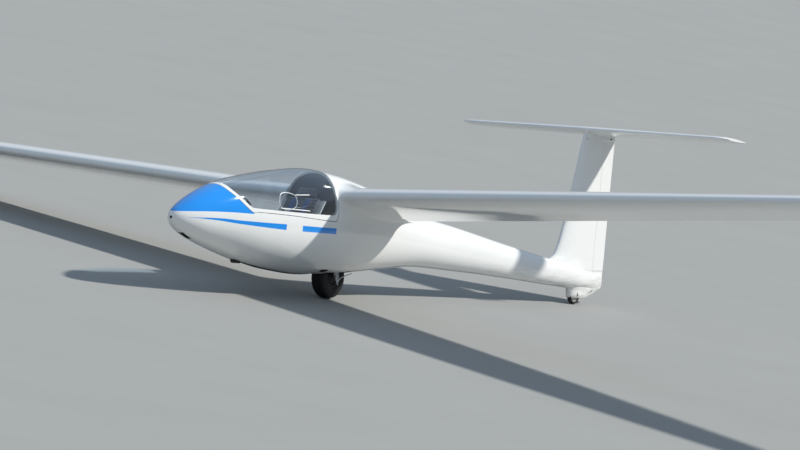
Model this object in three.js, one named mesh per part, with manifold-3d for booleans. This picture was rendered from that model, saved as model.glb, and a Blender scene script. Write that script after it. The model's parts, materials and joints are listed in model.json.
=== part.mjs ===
// Single-seat club sailplane: 15 m span, T-tail, fixed main wheel and tail wheel.
// Millimetres. In the level group +X points to the nose, +Y to port and +Z up, the wings are
// level, the nose tip is at x = 0 and both wheels touch z = 0. A station is a distance aft of
// the nose tip, so x = -station. The whole glider then leans onto its starboard wing tip skid,
// as it parks, and its origin is the middle of its bounding box, on the ground.
import * as THREE from "three";
import { mergeVertices } from "three/addons/utils/BufferGeometryUtils.js";
import Module from "manifold-3d";

const wasm = await Module();
wasm.setup();

// Driving dimensions of the fuselage
const BODY_SECTIONS = [
  // station, top height, bottom height, half width
  [0, 631, 631, 0],
  [20, 676, 592, 42],
  [50, 703, 567, 68],
  [110, 738, 528, 103],
  [250, 806, 468, 157],
  [450, 885, 410, 205],
  [700, 958, 347, 250],
  [1000, 1009, 283, 285],
  [1400, 1058, 229, 305],
  [1800, 1084, 201, 308],
  [2200, 1045, 203, 295],
  [2600, 975, 227, 262],
  [3000, 874, 258, 220],
  [3500, 742, 286, 175],
  [4200, 632, 259, 135],
  [5000, 500, 212, 108],
  [5600, 410, 169, 95],
  [6000, 356, 142, 86],
  [6200, 322, 130, 75],
  [6350, 296, 127, 58],
  [6460, 291, 138, 34],
  [6560, 286, 163, 8],
];
const BODY_POWER = 2.15;
const BODY_WAIST = 0.48;
const BODY_POINTS = 32;
const NOSE_STATIONS = [3, 16, 50, 110, 210, 350, 520, 700, 900, 1150, 1450, 1750];
const SHELL_END = 2060;
const SHELL_WALL = 18;
const HOLLOW_FROM = 60;
const HOLLOW_TO = 1985;
const CENTRE_END = 2760;
const BOOM_STATIONS = [
  3000, 3250, 3500, 3800, 4200, 4600, 5000, 5600, 6000, 6200, 6300, 6350, 6405, 6460, 6510, 6560,
];
const TOUCH_GAP = 0.3;
const MOVE_GAP = 5;
const WIDE = 600;
const TALL = 1400;

// Canopy, as side-view outlines of station and height
const CANOPY_OUTLINE = [
  [785, 703], [700, 757], [640, 808], [590, 852], [560, 895], [552, 960], [552, 1200],
  [2034, 1200], [2012, 1090], [1984, 1000], [1979, 930], [1972, 850], [1962, 760],
  [1950, 700], [1930, 666], [1900, 655], [1700, 664], [1400, 683], [1100, 697], [850, 704],
];
const GLASS_OUTLINE = [
  [800, 741], [760, 757], [715, 790], [673, 825], [640, 855], [615, 885], [602, 930],
  [600, 1200], [2018, 1200], [1996, 1090], [1970, 1000], [1965, 930], [1957, 850],
  [1942, 772], [1926, 733], [1905, 714], [1870, 708], [1533, 715], [1256, 723], [994, 732],
];
const CANOPY_FRAME_DEPTH = 22;
const GLASS_THICKNESS = 5;
const CANOPY_HINGE = [[1000, -293, 693], [1750, -318, 656]];
const KNUCKLE = { radius: 9, half: 9, earHalf: 20, ear: 8, pinRadius: 4 };

// Wing
const WING_ROOT_Y = 345;
const WING_BREAK_Y = 4500;
const WING_OUTER_Y = 7200;
const HALF_SPAN = 7500;
const WING_LEAD = { station: 2007, height: 863 };
const WING_DIHEDRAL = 0.0549;
const WING_SECTIONS = [
  // spanwise place, leading edge sweep, chord, incidence in degrees, thickness ratio
  [0, 0, 1026, 11.1, 0.175],
  [WING_BREAK_Y, 86, 820, 9.9, 0.16],
  [WING_OUTER_Y, 200, 572, 9.2, 0.145],
  [7400, 222, 500, 9.2, 0.13],
  [7470, 250, 420, 9.2, 0.11],
  [HALF_SPAN, 300, 290, 9.2, 0.09],
];
const THICKNESS_CURVE = [0.2969, -0.126, -0.3516, 0.2843, -0.1015];
const WING_CAMBER = 0.032;
const WING_CAMBER_PLACE = 0.45;
const WING_STEPS = 13;
const FAIRING_RINGS = [
  // spanwise place, growth of the wing section, reach of its tail behind the wing
  [60, 60, 330],
  [150, 50, 310],
  [190, 46, 200],
  [225, 40, 120],
  [265, 22, 60],
  [305, 6, 25],
  [WING_ROOT_Y, 0, 0],
];
const FAIRING_TAIL = { from: 0.72, thinning: 0.8, end: 3600 };
const AILERON = { from: 4520, to: 7150, hinge: 0.78, incidence: 9.5 };
const CONTROL_SPACE = { reach: 420, spread: 150, arcSteps: 12 };
const BRAKE = { from: 1750, to: 3100, chordPlace: 0.52, skinSlope: 3, capWidth: 44, capDepth: 6 };
const BRAKE_BLADE = { height: 98, thickness: 8, slotDepth: 111, short: 12 };
const BRAKE_RAIL = { halfWidth: 1.5, grip: 6, top: 12 };
const TIP_SKID = { y: 7400, station: 2440, length: 230, thickness: 14, depth: 75 };

// Tail
const FIN_SECTIONS = [
  // height, leading station, trailing station, half thickness
  [58, 6034, 6338, 40],
  [72, 6018, 6378, 47],
  [123, 6014, 6495, 53],
  [158, 5994, 6561, 56],
  [300, 5560, 6573, 60],
  [380, 5640, 6578, 54],
  [431, 5743, 6582, 50],
  [494, 5788, 6584, 47],
  [602, 5836, 6588, 45],
  [1560, 6128, 6635, 31],
];
const FIN_POINTS = 13;
const RUDDER = { low: 304, high: 1468, lowHinge: 6372, highHinge: 6435 };
const TAILPLANE_LEAD = { station: 6108, height: 1567 };
const TAILPLANE_SECTIONS = [
  // spanwise place, leading edge sweep, chord, thickness ratio
  [0, 0, 582, 0.125],
  [1290, 92, 462, 0.115],
  [1345, 106, 438, 0.105],
  [1380, 135, 395, 0.09],
  [1395, 185, 325, 0.07],
];
const TAILPLANE_INCIDENCE = 5;
const ELEVATOR = { from: 135, to: 1275, hinge: 0.7 };

// Wheels
const MAIN_WHEEL = { station: 2285, height: 175, radius: 175, halfWidth: 67.5, rim: 78, steps: 32 };
const TAIL_WHEEL = { station: 6118, height: 80, radius: 80, halfWidth: 19, rim: 56, steps: 20 };
const TAIL_WELL = { clearance: 6, side: 6 };
const TAIL_AXLE = { half: 52, radius: 8 };
const PIN = { radius: 5, slack: 0.4, inside: 16, outside: 18 };
const WELL = { clearance: 9, halfWidth: 98, roof: 392 };
const AXLE_RADIUS = 12;
const TYRE_POINTS = 12;

const WHITE = { color: 0xf4f3ee, roughness: 0.25, metalness: 0 };
const GLASS = { color: 0xbfd3e6, roughness: 0.05, metalness: 0, transparent: true, opacity: 0.35 };
const RUBBER = { color: 0x191919, roughness: 0.85, metalness: 0 };
const ALLOY = { color: 0xb4b8bc, roughness: 0.4, metalness: 0.9 };
const STEEL = { color: 0x6c7074, roughness: 0.45, metalness: 0.9 };
const BLACK = { color: 0x1d1e20, roughness: 0.6, metalness: 0 };
const INTERIOR = { color: 0xc9c8c2, roughness: 0.7, metalness: 0 };
const CLOTH = { color: 0x3d444e, roughness: 0.95, metalness: 0 };
const WEBBING = { color: 0x27406e, roughness: 0.9, metalness: 0 };

const radians = THREE.MathUtils.degToRad;
const mix = THREE.MathUtils.lerp;

// A solid from a three.js geometry whose faces may point either way.
function solidOf(geometry) {
  const bare = geometry.clone();
  bare.deleteAttribute("normal");
  bare.deleteAttribute("uv");
  const merged = mergeVertices(bare, 1e-3);
  const faces = [];
  const index = merged.index.array;
  for (let i = 0; i < index.length; i += 3) {
    const [a, b, c] = [index[i], index[i + 1], index[i + 2]];
    if (a !== b && b !== c && c !== a) {
      faces.push(a, b, c);
    }
  }
  const vertProperties = new Float32Array(merged.attributes.position.array);
  const wrap = (list) =>
    new wasm.Manifold(
      new wasm.Mesh({ numProp: 3, vertProperties, triVerts: new Uint32Array(list) }),
    );
  const solid = wrap(faces);
  return solid.volume() < 0 ? wrap(faces.reverse()) : solid;
}

// A solid through rings of points, with a fan at each end around a given or middle point.
function loft(rings, firstTip, lastTip) {
  const count = rings[0].length;
  const points = rings.flat();
  const faces = [];
  for (let i = 0; i + 1 < rings.length; i += 1) {
    for (let j = 0; j < count; j += 1) {
      const k = (j + 1) % count;
      const [a, b] = [i * count + j, i * count + k];
      faces.push(a, b, a + count, b, b + count, a + count);
    }
  }
  const middle = (ring) => [0, 1, 2].map((axis) => ring.reduce((sum, p) => sum + p[axis], 0) / count);
  const ends = [firstTip ?? middle(rings[0]), lastTip ?? middle(rings.at(-1))];
  ends.forEach((tip, end) => {
    const start = end * (rings.length - 1) * count;
    const centre = points.push(tip) - 1;
    for (let j = 0; j < count; j += 1) {
      const [a, b] = [start + j, start + ((j + 1) % count)];
      faces.push(...(end ? [a, b, centre] : [b, a, centre]));
    }
  });
  const geometry = new THREE.BufferGeometry();
  geometry.setAttribute("position", new THREE.Float32BufferAttribute(points.flat(), 3));
  geometry.setIndex(faces);
  return solidOf(geometry);
}

function block(stations, widths, heights) {
  const size = [stations, widths, heights].map(([low, high]) => high - low);
  const geometry = new THREE.BoxGeometry(...size);
  geometry.translate(
    -(stations[0] + stations[1]) / 2,
    (widths[0] + widths[1]) / 2,
    (heights[0] + heights[1]) / 2,
  );
  return solidOf(geometry);
}

// A plate with a side-view outline of stations and heights, from one y to another.
function sidePlate(outline, yLow, yHigh) {
  const shape = new THREE.Shape(outline.map(([s, z]) => new THREE.Vector2(-s, z)));
  const geometry = new THREE.ExtrudeGeometry(shape, { depth: yHigh - yLow, bevelEnabled: false });
  geometry.rotateX(Math.PI / 2);
  geometry.translate(0, yHigh, 0);
  return solidOf(geometry);
}

// A plate with a front-view outline of y and heights, from one station to another.
function frontPlate(outline, sLow, sHigh) {
  const shape = new THREE.Shape(outline.map(([y, z]) => new THREE.Vector2(y, z)));
  const geometry = new THREE.ExtrudeGeometry(shape, { depth: sHigh - sLow, bevelEnabled: false });
  geometry.rotateX(Math.PI / 2);
  geometry.rotateZ(Math.PI / 2);
  geometry.translate(-sHigh, 0, 0);
  return solidOf(geometry);
}

// A round bar between two points of station, y and height.
function bar(from, to, radius, steps = 16, endRadius = radius) {
  const start = new THREE.Vector3(-from[0], from[1], from[2]);
  const end = new THREE.Vector3(-to[0], to[1], to[2]);
  const along = end.clone().sub(start);
  const geometry = new THREE.CylinderGeometry(endRadius, radius, along.length(), steps);
  const turn = new THREE.Quaternion().setFromUnitVectors(
    new THREE.Vector3(0, 1, 0),
    along.clone().normalize(),
  );
  geometry.applyQuaternion(turn);
  geometry.translate(...start.add(end).multiplyScalar(0.5).toArray());
  return solidOf(geometry);
}

// A ring turned about an axle that runs along y, from a closed profile of radius and y.
function turned(profile, station, height, steps) {
  const points = profile.map(([radius, y]) => new THREE.Vector2(radius, y));
  points.push(points[0].clone());
  const geometry = new THREE.LatheGeometry(points, steps);
  geometry.translate(-station, 0, height);
  return solidOf(geometry);
}

const joined = (solids) => solids.reduce((whole, piece) => whole.add(piece));

// A solid with its copies moved by the touching gap each way, to cut a neighbour's seat.
function withGap(solid) {
  const moves = [0, 1, 2].flatMap((axis) => [-TOUCH_GAP, TOUCH_GAP].map((d) => [0, 0, 0].with(axis, d)));
  return joined([solid, ...moves.map((move) => solid.translate(move))]);
}

// Pins at both ends of a hinge line, given by two points, for the fixed piece and its bores.
function endPins([first, last], extra = 0) {
  const [a, b] = [new THREE.Vector3(...first), new THREE.Vector3(...last)];
  const along = b.clone().sub(a).normalize();
  const toPlace = (v) => [-v.x, v.y, v.z];
  const pin = (end, inwards) => {
    const deep = end.clone().addScaledVector(along, inwards * (PIN.inside + extra));
    const out = end.clone().addScaledVector(along, -inwards * PIN.outside);
    return bar(toPlace(out), toPlace(deep), PIN.radius + extra, 10);
  };
  return joined([pin(a, 1), pin(b, -1)]);
}

// A monotone cubic curve through a table's points.
function curveThrough(xs, ys) {
  const slopes = xs.slice(1).map((x, i) => (ys[i + 1] - ys[i]) / (x - xs[i]));
  const tangents = xs.map((x, i) => {
    if (i === 0 || i === xs.length - 1) {
      return slopes[Math.min(i, slopes.length - 1)];
    }
    const [left, right] = [slopes[i - 1], slopes[i]];
    return left * right <= 0 ? 0 : (2 * left * right) / (left + right);
  });
  return (x) => {
    let i = 0;
    while (i < xs.length - 2 && x > xs[i + 1]) {
      i += 1;
    }
    const width = xs[i + 1] - xs[i];
    const t = (x - xs[i]) / width;
    const [t2, t3] = [t * t, t * t * t];
    return (
      (2 * t3 - 3 * t2 + 1) * ys[i] +
      (t3 - 2 * t2 + t) * width * tangents[i] +
      (3 * t2 - 2 * t3) * ys[i + 1] +
      (t3 - t2) * width * tangents[i + 1]
    );
  };
}

// Fuselage sections: the curves run against the root of the station, so the nose is round.
const roots = BODY_SECTIONS.map((row) => Math.sqrt(row[0]));
const [bodyTop, bodyBottom, bodyHalf] = [1, 2, 3].map((column) => {
  const curve = curveThrough(roots, BODY_SECTIONS.map((row) => row[column]));
  return (station) => curve(Math.sqrt(station));
});

function bodyRing(station, inset) {
  const [top, bottom] = [bodyTop(station) - inset, bodyBottom(station) + inset];
  const waist = mix(bottom, top, BODY_WAIST);
  const round = (value) => Math.sign(value) * Math.abs(value) ** (2 / BODY_POWER);
  return Array.from({ length: BODY_POINTS }, (_, i) => {
    const angle = (i / BODY_POINTS) * 2 * Math.PI;
    const rise = Math.sin(angle) > 0 ? top - waist : waist - bottom;
    const half = bodyHalf(station) - inset;
    return [-station, half * round(Math.cos(angle)), waist + rise * round(Math.sin(angle))];
  });
}

function bodyLoft(stations, inset = 0, tip = undefined) {
  return loft(stations.map((station) => bodyRing(station, inset)), tip);
}

const noseTip = [0, 0, BODY_SECTIONS[0][1]];
const frontStations = [...NOSE_STATIONS, 1930, SHELL_END];
const hollowStations = [HOLLOW_FROM, ...NOSE_STATIONS.filter((s) => s > HOLLOW_FROM), 1930, HOLLOW_TO];
const frontBody = bodyLoft(frontStations, 0, noseTip);
const shellHollow = bodyLoft(hollowStations, SHELL_WALL);
const cockpitSpace = bodyLoft(hollowStations, SHELL_WALL + TOUCH_GAP);

// Moves each side of an outline inwards by a distance.
function insetOutline(outline, distance) {
  const turn = Math.sign(THREE.ShapeUtils.area(outline.map(([x, y]) => ({ x, y }))));
  const count = outline.length;
  const normal = ([x0, y0], [x1, y1]) => {
    const length = Math.hypot(x1 - x0, y1 - y0);
    return [(-turn * (y1 - y0)) / length, (turn * (x1 - x0)) / length];
  };
  return outline.map((point, i) => {
    const before = normal(outline[(i + count - 1) % count], point);
    const after = normal(point, outline[(i + 1) % count]);
    const sum = [before[0] + after[0], before[1] + after[1]];
    const scale = (2 * distance) / (sum[0] ** 2 + sum[1] ** 2);
    return [point[0] + sum[0] * scale, point[1] + sum[1] * scale];
  });
}

const COCKPIT_HALF = 400;
const VENT_RADIUS = 13.5;
const NOSE_HOOK = { from: 150, to: 275, half: 24, depth: 46 };
const BELLY_HOOK = { from: 895, to: 985, half: 24, drop: 14 };
const BELLY_STRIP = { from: 988, to: 1975, half: 20, drop: 7 };

const shellBody = frontBody
  .subtract(shellHollow)
  .subtract(sidePlate(CANOPY_OUTLINE, -COCKPIT_HALF, COCKPIT_HALF));

function fuselageShell() {
  const ventHeight = noseTip[2];
  const hookHeights = [bodyBottom(NOSE_HOOK.from) - 90, bodyBottom(NOSE_HOOK.from) + 60];
  return shellBody
    .subtract(bar([-20, 0, ventHeight], [110, 0, ventHeight], VENT_RADIUS))
    .subtract(block([NOSE_HOOK.from, NOSE_HOOK.to], [-NOSE_HOOK.half, NOSE_HOOK.half], hookHeights));
}

function noseVent() {
  const height = noseTip[2];
  const outer = bar([12, 0, height], [62, 0, height], VENT_RADIUS - TOUCH_GAP);
  return outer.subtract(bar([0, 0, height], [70, 0, height], VENT_RADIUS - 3));
}

// The release housing fills its slot in the skin and ends in a flat lower plate.
function noseHook() {
  const half = NOSE_HOOK.half - TOUCH_GAP;
  const [from, to] = [NOSE_HOOK.from + TOUCH_GAP, NOSE_HOOK.to - TOUCH_GAP];
  const high = bodyBottom(NOSE_HOOK.to) + NOSE_HOOK.depth;
  const skin = (station, drop) => [station, bodyBottom(station) - drop];
  const middle = (from + to) / 2;
  const outline = [skin(from, -4), skin(middle, -2), skin(to, 0), [to, high], [from, high + 30]];
  const mouth = block([from + 34, to - 22], [-8, 8], [bodyBottom(to) - 60, bodyBottom(to) + 30]);
  const tongue = block([middle - 14, middle + 6], [-7.7, 7.7], [skin(middle, 0)[1], high - 5]);
  return sidePlate(outline, -half, half).subtract(mouth).add(tongue);
}

function bellyStrip({ from, to, half, drop }) {
  const stations = frontStations.filter((station) => station > 600);
  const reach = block([from, to], [-half, half], [120, 330]);
  const lowered = bodyLoft(stations).translate([0, 0, -drop]);
  const seat = bodyLoft(stations).translate([0, 0, -TOUCH_GAP]);
  return lowered.intersect(reach).subtract(frontBody).subtract(seat);
}

// The belly release ends in a flat plate, cut through by the mouth that takes the ring.
function bellyHook({ from, to, half, drop }) {
  const low = bodyBottom(to) - drop;
  const high = low + 60;
  const lowSide = [[from, low + 14], [from + 18, low], [to - 8, low], [to, low + 8]];
  const outline = [...lowSide, [to, high], [from, high]];
  const mouth = block([from + 32, to - 26], [-7, 7], [low - 5, low + 30]);
  return { low, solid: sidePlate(outline, -half, half).subtract(withGap(frontBody)).subtract(mouth) };
}

// Canopy frame and glass share the fuselage's own surface, so that they lie flush with it.
function canopyPieces() {
  const rim = insetOutline(CANOPY_OUTLINE, MOVE_GAP);
  const frameHollow = bodyLoft(hollowStations.concat(SHELL_END + 20), CANOPY_FRAME_DEPTH);
  const glassHollow = bodyLoft(hollowStations.concat(SHELL_END + 20), GLASS_THICKNESS);
  const glassEdge = insetOutline(GLASS_OUTLINE, TOUCH_GAP);
  const knobs = [1, 0].map((side) => {
    const station = mix(1150, 1700, side);
    const height = mix(708, 682, side);
    const wall = bodyHalf(station) - CANOPY_FRAME_DEPTH;
    return bar([station, wall + 4, height], [station, wall - 26, height], 9, 12);
  });
  const frame = frontBody
    .subtract(frameHollow)
    .intersect(sidePlate(rim, -COCKPIT_HALF, COCKPIT_HALF))
    .subtract(sidePlate(GLASS_OUTLINE, -COCKPIT_HALF, COCKPIT_HALF));
  const glass = frontBody
    .subtract(glassHollow)
    .intersect(sidePlate(glassEdge, -COCKPIT_HALF, COCKPIT_HALF));
  const knuckles = CANOPY_HINGE.map((centre) => {
    const [station, y, z] = centre;
    const lug = block([station - KNUCKLE.half, station + KNUCKLE.half], [y, y + 24], [z + 1, z + 26]);
    return along(centre, KNUCKLE.half, KNUCKLE.radius)
      .add(lug.subtract(withGap(shellBody)))
      .subtract(along(centre, KNUCKLE.half + 5, KNUCKLE.pinRadius + PIN.slack));
  });
  return { frame: joined([frame, ...knobs, ...knuckles]), glass };
}

// A round bar along the canopy's hinge line, around a point on it.
function along([station, y, z], half, radius) {
  const [front, rear] = CANOPY_HINGE;
  const run = rear[0] - front[0];
  const slope = [1, (rear[1] - front[1]) / run, (rear[2] - front[2]) / run];
  const end = (sign) => [station, y, z].map((value, i) => value + sign * half * slope[i]);
  return bar(end(-1), end(1), radius, 16);
}

// A bracket on the shell's starboard side, with the pin that carries a canopy knuckle.
function canopyHinge(centre) {
  const [station, y, z] = centre;
  const { earHalf, ear, radius, pinRadius } = KNUCKLE;
  const foot = block([station - earHalf, station + earHalf], [y - 6, y + 30], [z - 30, z - radius - 2]);
  const ears = [station - earHalf, station + earHalf - ear].map((from) =>
    block([from, from + ear], [y - 6, y + 30], [z - 30, z + 6]),
  );
  const bracket = joined([foot, ...ears]).subtract(withGap(frontBody));
  return bracket.add(along(centre, earHalf, pinRadius));
}

// Wing section: upper side from the trailing edge to the nose, then the lower side back.
function sectionPoints(thickness, camber, steps = WING_STEPS) {
  const [a, b, c, d, e] = THICKNESS_CURVE;
  const half = (x) => 5 * thickness * (a * Math.sqrt(x) + b * x + c * x ** 2 + d * x ** 3 + e * x ** 4);
  const line = (x) => {
    const p = WING_CAMBER_PLACE;
    const [front, rear] = [camber / p ** 2, camber / (1 - p) ** 2];
    return x < p ? front * (2 * p * x - x * x) : rear * (1 - 2 * p + 2 * p * x - x * x);
  };
  const place = (i) => (1 - Math.cos((i / steps) * Math.PI)) / 2;
  const upper = Array.from({ length: steps + 1 }, (_, i) => place(steps - i));
  const lower = Array.from({ length: steps }, (_, i) => place(i + 1));
  return [
    ...upper.map((x) => [x, line(x) + half(x)]),
    ...lower.map((x) => [x, line(x) - half(x)]),
  ];
}

const chordPoint = ({ station, height, chord, turn }, x, z) => [
  station + chord * (x * Math.cos(turn) + z * Math.sin(turn)),
  height + chord * (z * Math.cos(turn) - x * Math.sin(turn)),
];

// The wing's driving values at any place along the span, straight between the table's rows.
function wingAt(y) {
  const row = WING_SECTIONS.findIndex((section) => section[0] >= Math.max(y, 1));
  const [low, high] = [WING_SECTIONS[row - 1], WING_SECTIONS[row]];
  const t = (y - low[0]) / (high[0] - low[0]);
  const [, sweep, chord, incidence, thickness] = low.map((value, i) => mix(value, high[i], t));
  return {
    station: WING_LEAD.station + sweep,
    height: WING_LEAD.height + WING_DIHEDRAL * y,
    chord,
    turn: radians(incidence),
    thickness,
  };
}

function wingRing(y, side) {
  const values = wingAt(y);
  return sectionPoints(values.thickness, WING_CAMBER).map(([x, z]) => {
    const [station, height] = chordPoint(values, x, z);
    return [-station, side * y, height];
  });
}

// A grown wing section, with its thin tail drawn out behind the wing.
function fairingRing([y, growth, tail], side) {
  const values = wingAt(y);
  const spread = growth / values.chord;
  return sectionPoints(values.thickness, WING_CAMBER).map(([x, z]) => {
    const aft = Math.max(0, (x - FAIRING_TAIL.from) / (1 - FAIRING_TAIL.from));
    const thick = spread * (1 - FAIRING_TAIL.thinning * aft);
    const [station, height] = chordPoint(values, x + (x - 0.45) * 2 * spread, z + Math.sign(z) * thick);
    return [-(station + tail * aft ** 2), side * y, height];
  });
}

const wingStations = [WING_ROOT_Y + TOUCH_GAP, ...WING_SECTIONS.slice(1).map((row) => row[0])];
const wingLoft = (side) => loft(wingStations.map((y) => wingRing(y, side)));

// Half thickness and middle line of a section at a share of its chord.
function sectionMiddle(values, camber, share) {
  const [top, low] = sectionSides(values.thickness, camber).map((side) => nearestTo(side, share));
  const [station, height] = chordPoint(values, share, (top[1] + low[1]) / 2);
  return { station, height, radius: ((top[1] - low[1]) / 2) * values.chord * 0.985 };
}

// A finely stepped section, parted into its upper and lower side.
function sectionSides(thickness, camber) {
  const steps = 60;
  const points = sectionPoints(thickness, camber, steps);
  return [points.slice(0, steps + 1), points.slice(steps + 1)];
}

function nearestTo(side, share) {
  const miss = (point) => Math.abs(point[0] - share);
  return side.reduce((best, point) => (miss(point) < miss(best) ? point : best));
}

// The space of a control surface: round at its hinge line and open to the rear.
// ends holds the place, hinge station and height, radius and turn of the two end sections.
function controlSpace(ends, extra, toPoint) {
  const { reach, spread, arcSteps } = CONTROL_SPACE;
  const rings = ends.map((end) => {
    const radius = end.radius + extra;
    const arc = Array.from({ length: arcSteps + 1 }, (_, i) => {
      const angle = Math.PI / 2 + (i / arcSteps) * Math.PI;
      return [Math.cos(angle) * radius, Math.sin(angle) * radius];
    });
    const outline = [[0, spread], ...arc, [0, -spread], [reach, -spread], [reach, spread]];
    return outline.map(([aft, up]) => toPoint(end, aft, up));
  });
  return loft(rings);
}

function aileronEnds(grow) {
  const hinge = (y) => sectionMiddle(wingAt(y), WING_CAMBER, AILERON.hinge);
  const inner = hinge(WING_BREAK_Y + 1);
  const outer = hinge(WING_OUTER_Y);
  return [AILERON.from - grow, AILERON.to + grow].map((y) => {
    const t = (y - WING_BREAK_Y) / (WING_OUTER_Y - WING_BREAK_Y);
    return {
      y,
      station: mix(inner.station, outer.station, t),
      height: mix(inner.height, outer.height, t),
      radius: mix(inner.radius, outer.radius, t),
      turn: radians(AILERON.incidence),
    };
  });
}

const spanPoint = (side) => (end, aft, up) => [
  -(end.station + aft * Math.cos(end.turn) + up * Math.sin(end.turn)),
  side * end.y,
  end.height + up * Math.cos(end.turn) - aft * Math.sin(end.turn),
];

// The airbrake's own axes: x forward along the chord, y out along the span, z out of the skin.
function brakeFrame(side) {
  const middleY = (BRAKE.from + BRAKE.to) / 2;
  const skin = (y) => {
    const values = wingAt(y);
    const [upperSide] = sectionSides(values.thickness, WING_CAMBER);
    const [, rise] = nearestTo(upperSide, BRAKE.chordPlace);
    const [station, height] = chordPoint(values, BRAKE.chordPlace, rise);
    return new THREE.Vector3(-station, side * y, height);
  };
  const origin = skin(middleY);
  const out = skin(BRAKE.to).sub(skin(BRAKE.from)).normalize();
  const values = wingAt(middleY);
  const aftSlope = values.turn + radians(BRAKE.skinSlope);
  const forward = new THREE.Vector3(Math.cos(aftSlope), 0, Math.sin(aftSlope));
  const up = new THREE.Vector3().crossVectors(forward, out).multiplyScalar(side).normalize();
  const squareForward = new THREE.Vector3().crossVectors(out, up).multiplyScalar(side);
  return { up, matrix: new THREE.Matrix4().makeBasis(squareForward, out, up).setPosition(origin) };
}

function brakeBox(frame, xs, ys, zs) {
  const geometry = new THREE.BoxGeometry(xs[1] - xs[0], ys[1] - ys[0], zs[1] - zs[0]);
  geometry.translate((xs[0] + xs[1]) / 2, (ys[0] + ys[1]) / 2, (zs[0] + zs[1]) / 2);
  geometry.applyMatrix4(frame.matrix);
  return solidOf(geometry);
}

function wingPieces(side) {
  const whole = wingLoft(side);
  const toPoint = spanPoint(side);
  const aileron = whole.intersect(controlSpace(aileronEnds(0), 0, toPoint));
  const frame = brakeFrame(side);
  const halfSpan = (BRAKE.to - BRAKE.from) / 2;
  const halfCap = BRAKE.capWidth / 2;
  const slotX = halfCap + MOVE_GAP;
  const slotY = halfSpan + MOVE_GAP;
  const slot = brakeBox(frame, [-slotX, slotX], [-slotY, slotY], [-BRAKE_BLADE.slotDepth, 60]);
  const capBox = brakeBox(frame, [-halfCap, halfCap], [-halfSpan, halfSpan], [-BRAKE.capDepth, 60]);
  const blade = brakeBox(
    frame,
    [-BRAKE_BLADE.thickness / 2, BRAKE_BLADE.thickness / 2],
    [-halfSpan + BRAKE_BLADE.short, halfSpan - BRAKE_BLADE.short],
    [-BRAKE.capDepth - BRAKE_BLADE.height, -BRAKE.capDepth - TOUCH_GAP],
  );
  const rails = (extra) => {
    const [near, far] = [halfSpan - BRAKE_BLADE.short - BRAKE_RAIL.grip - extra, slotY + 2];
    const half = BRAKE_RAIL.halfWidth + extra;
    const heights = [-BRAKE_BLADE.slotDepth - 2, -BRAKE_RAIL.top + extra];
    return brakeBox(frame, [-half, half], [near, far], heights).add(
      brakeBox(frame, [-half, half], [-far, -near], heights),
    );
  };
  const hinge = aileronEnds(0).map((end) => toPoint(end, 0, 0));
  const wing = whole
    .subtract(controlSpace(aileronEnds(MOVE_GAP), MOVE_GAP, toPoint))
    .subtract(slot)
    .add(endPins(hinge))
    .add(rails(0));
  return {
    whole,
    wing,
    aileron: aileron.subtract(endPins(hinge, PIN.slack)),
    cap: whole.intersect(capBox),
    blade: blade.subtract(rails(PIN.slack)),
    hinge,
    brakeUp: frame.up,
  };
}

// A rounded blade under each wing tip that carries the glider when it leans.
function tipSkid(side, wing) {
  const values = wingAt(TIP_SKID.y);
  const [, skinHeight] = chordPoint(values, 0.4, 0);
  const low = skinHeight - TIP_SKID.depth - 20;
  const half = TIP_SKID.length / 2;
  const outline = Array.from({ length: 13 }, (_, i) => {
    const angle = Math.PI + (i / 12) * Math.PI;
    return [TIP_SKID.station - half * Math.cos(angle), low + 60 + 60 * Math.sin(angle)];
  });
  outline.push([TIP_SKID.station - half, skinHeight + 10], [TIP_SKID.station + half, skinHeight + 10]);
  const y = side * TIP_SKID.y;
  const plate = sidePlate(outline, y - TIP_SKID.thickness / 2, y + TIP_SKID.thickness / 2);
  return { solid: plate.subtract(wing).subtract(wing.translate([0, 0, -TOUCH_GAP])), low };
}

// The fuselage behind the cockpit with both wing root fairings, before it is trimmed.
function centreWhole() {
  const stations = [SHELL_END + TOUCH_GAP, 2200, 2400, 2600, CENTRE_END - TOUCH_GAP];
  const fairing = (side) => loft(FAIRING_RINGS.map((row) => fairingRing(row, side)));
  return joined([bodyLoft(stations), fairing(1), fairing(-1)]);
}

// The fairings' front edges lie on the nose shell's skin.
function fuselageCentre(whole) {
  const rear = block([CENTRE_END - TOUCH_GAP, FAIRING_TAIL.end], [-WIDE, WIDE], [0, TALL]);
  return whole.subtract(withGap(frontBody)).subtract(rear).subtract(wheelWell());
}

function wheelWell() {
  const reach = MAIN_WHEEL.radius + WELL.clearance;
  return block(
    [MAIN_WHEEL.station - reach - 6, MAIN_WHEEL.station + reach + 6],
    [-WELL.halfWidth, WELL.halfWidth],
    [100, WELL.roof],
  );
}

// Fin, tail cone and tail wheel fairing, as level sections from the lowest up.
function finRing([height, lead, trail, half]) {
  const chord = trail - lead;
  return sectionPoints((2 * half) / chord, 0, FIN_POINTS).map(([x, z]) => [
    -(lead + chord * x),
    chord * z,
    height,
  ]);
}

function rudderEnds(grow) {
  return [RUDDER.low - grow, RUDDER.high + grow].map((height) => {
    const t = (height - RUDDER.low) / (RUDDER.high - RUDDER.low);
    const station = mix(RUDDER.lowHinge, RUDDER.highHinge, t);
    const row = FIN_SECTIONS.findIndex((section) => section[0] >= height);
    const [low, high] = [FIN_SECTIONS[row - 1], FIN_SECTIONS[row]];
    const share = (height - low[0]) / (high[0] - low[0]);
    const [, lead, trail, half] = low.map((value, i) => mix(value, high[i], share));
    const chord = trail - lead;
    const values = { station: lead, height: 0, chord, turn: 0, thickness: (2 * half) / chord };
    return { height, station, radius: sectionMiddle(values, 0, (station - lead) / chord).radius };
  });
}

const finPoint = (end, aft, across) => [-(end.station + aft), across, end.height];
const tailplaneTurn = radians(TAILPLANE_INCIDENCE);

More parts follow.
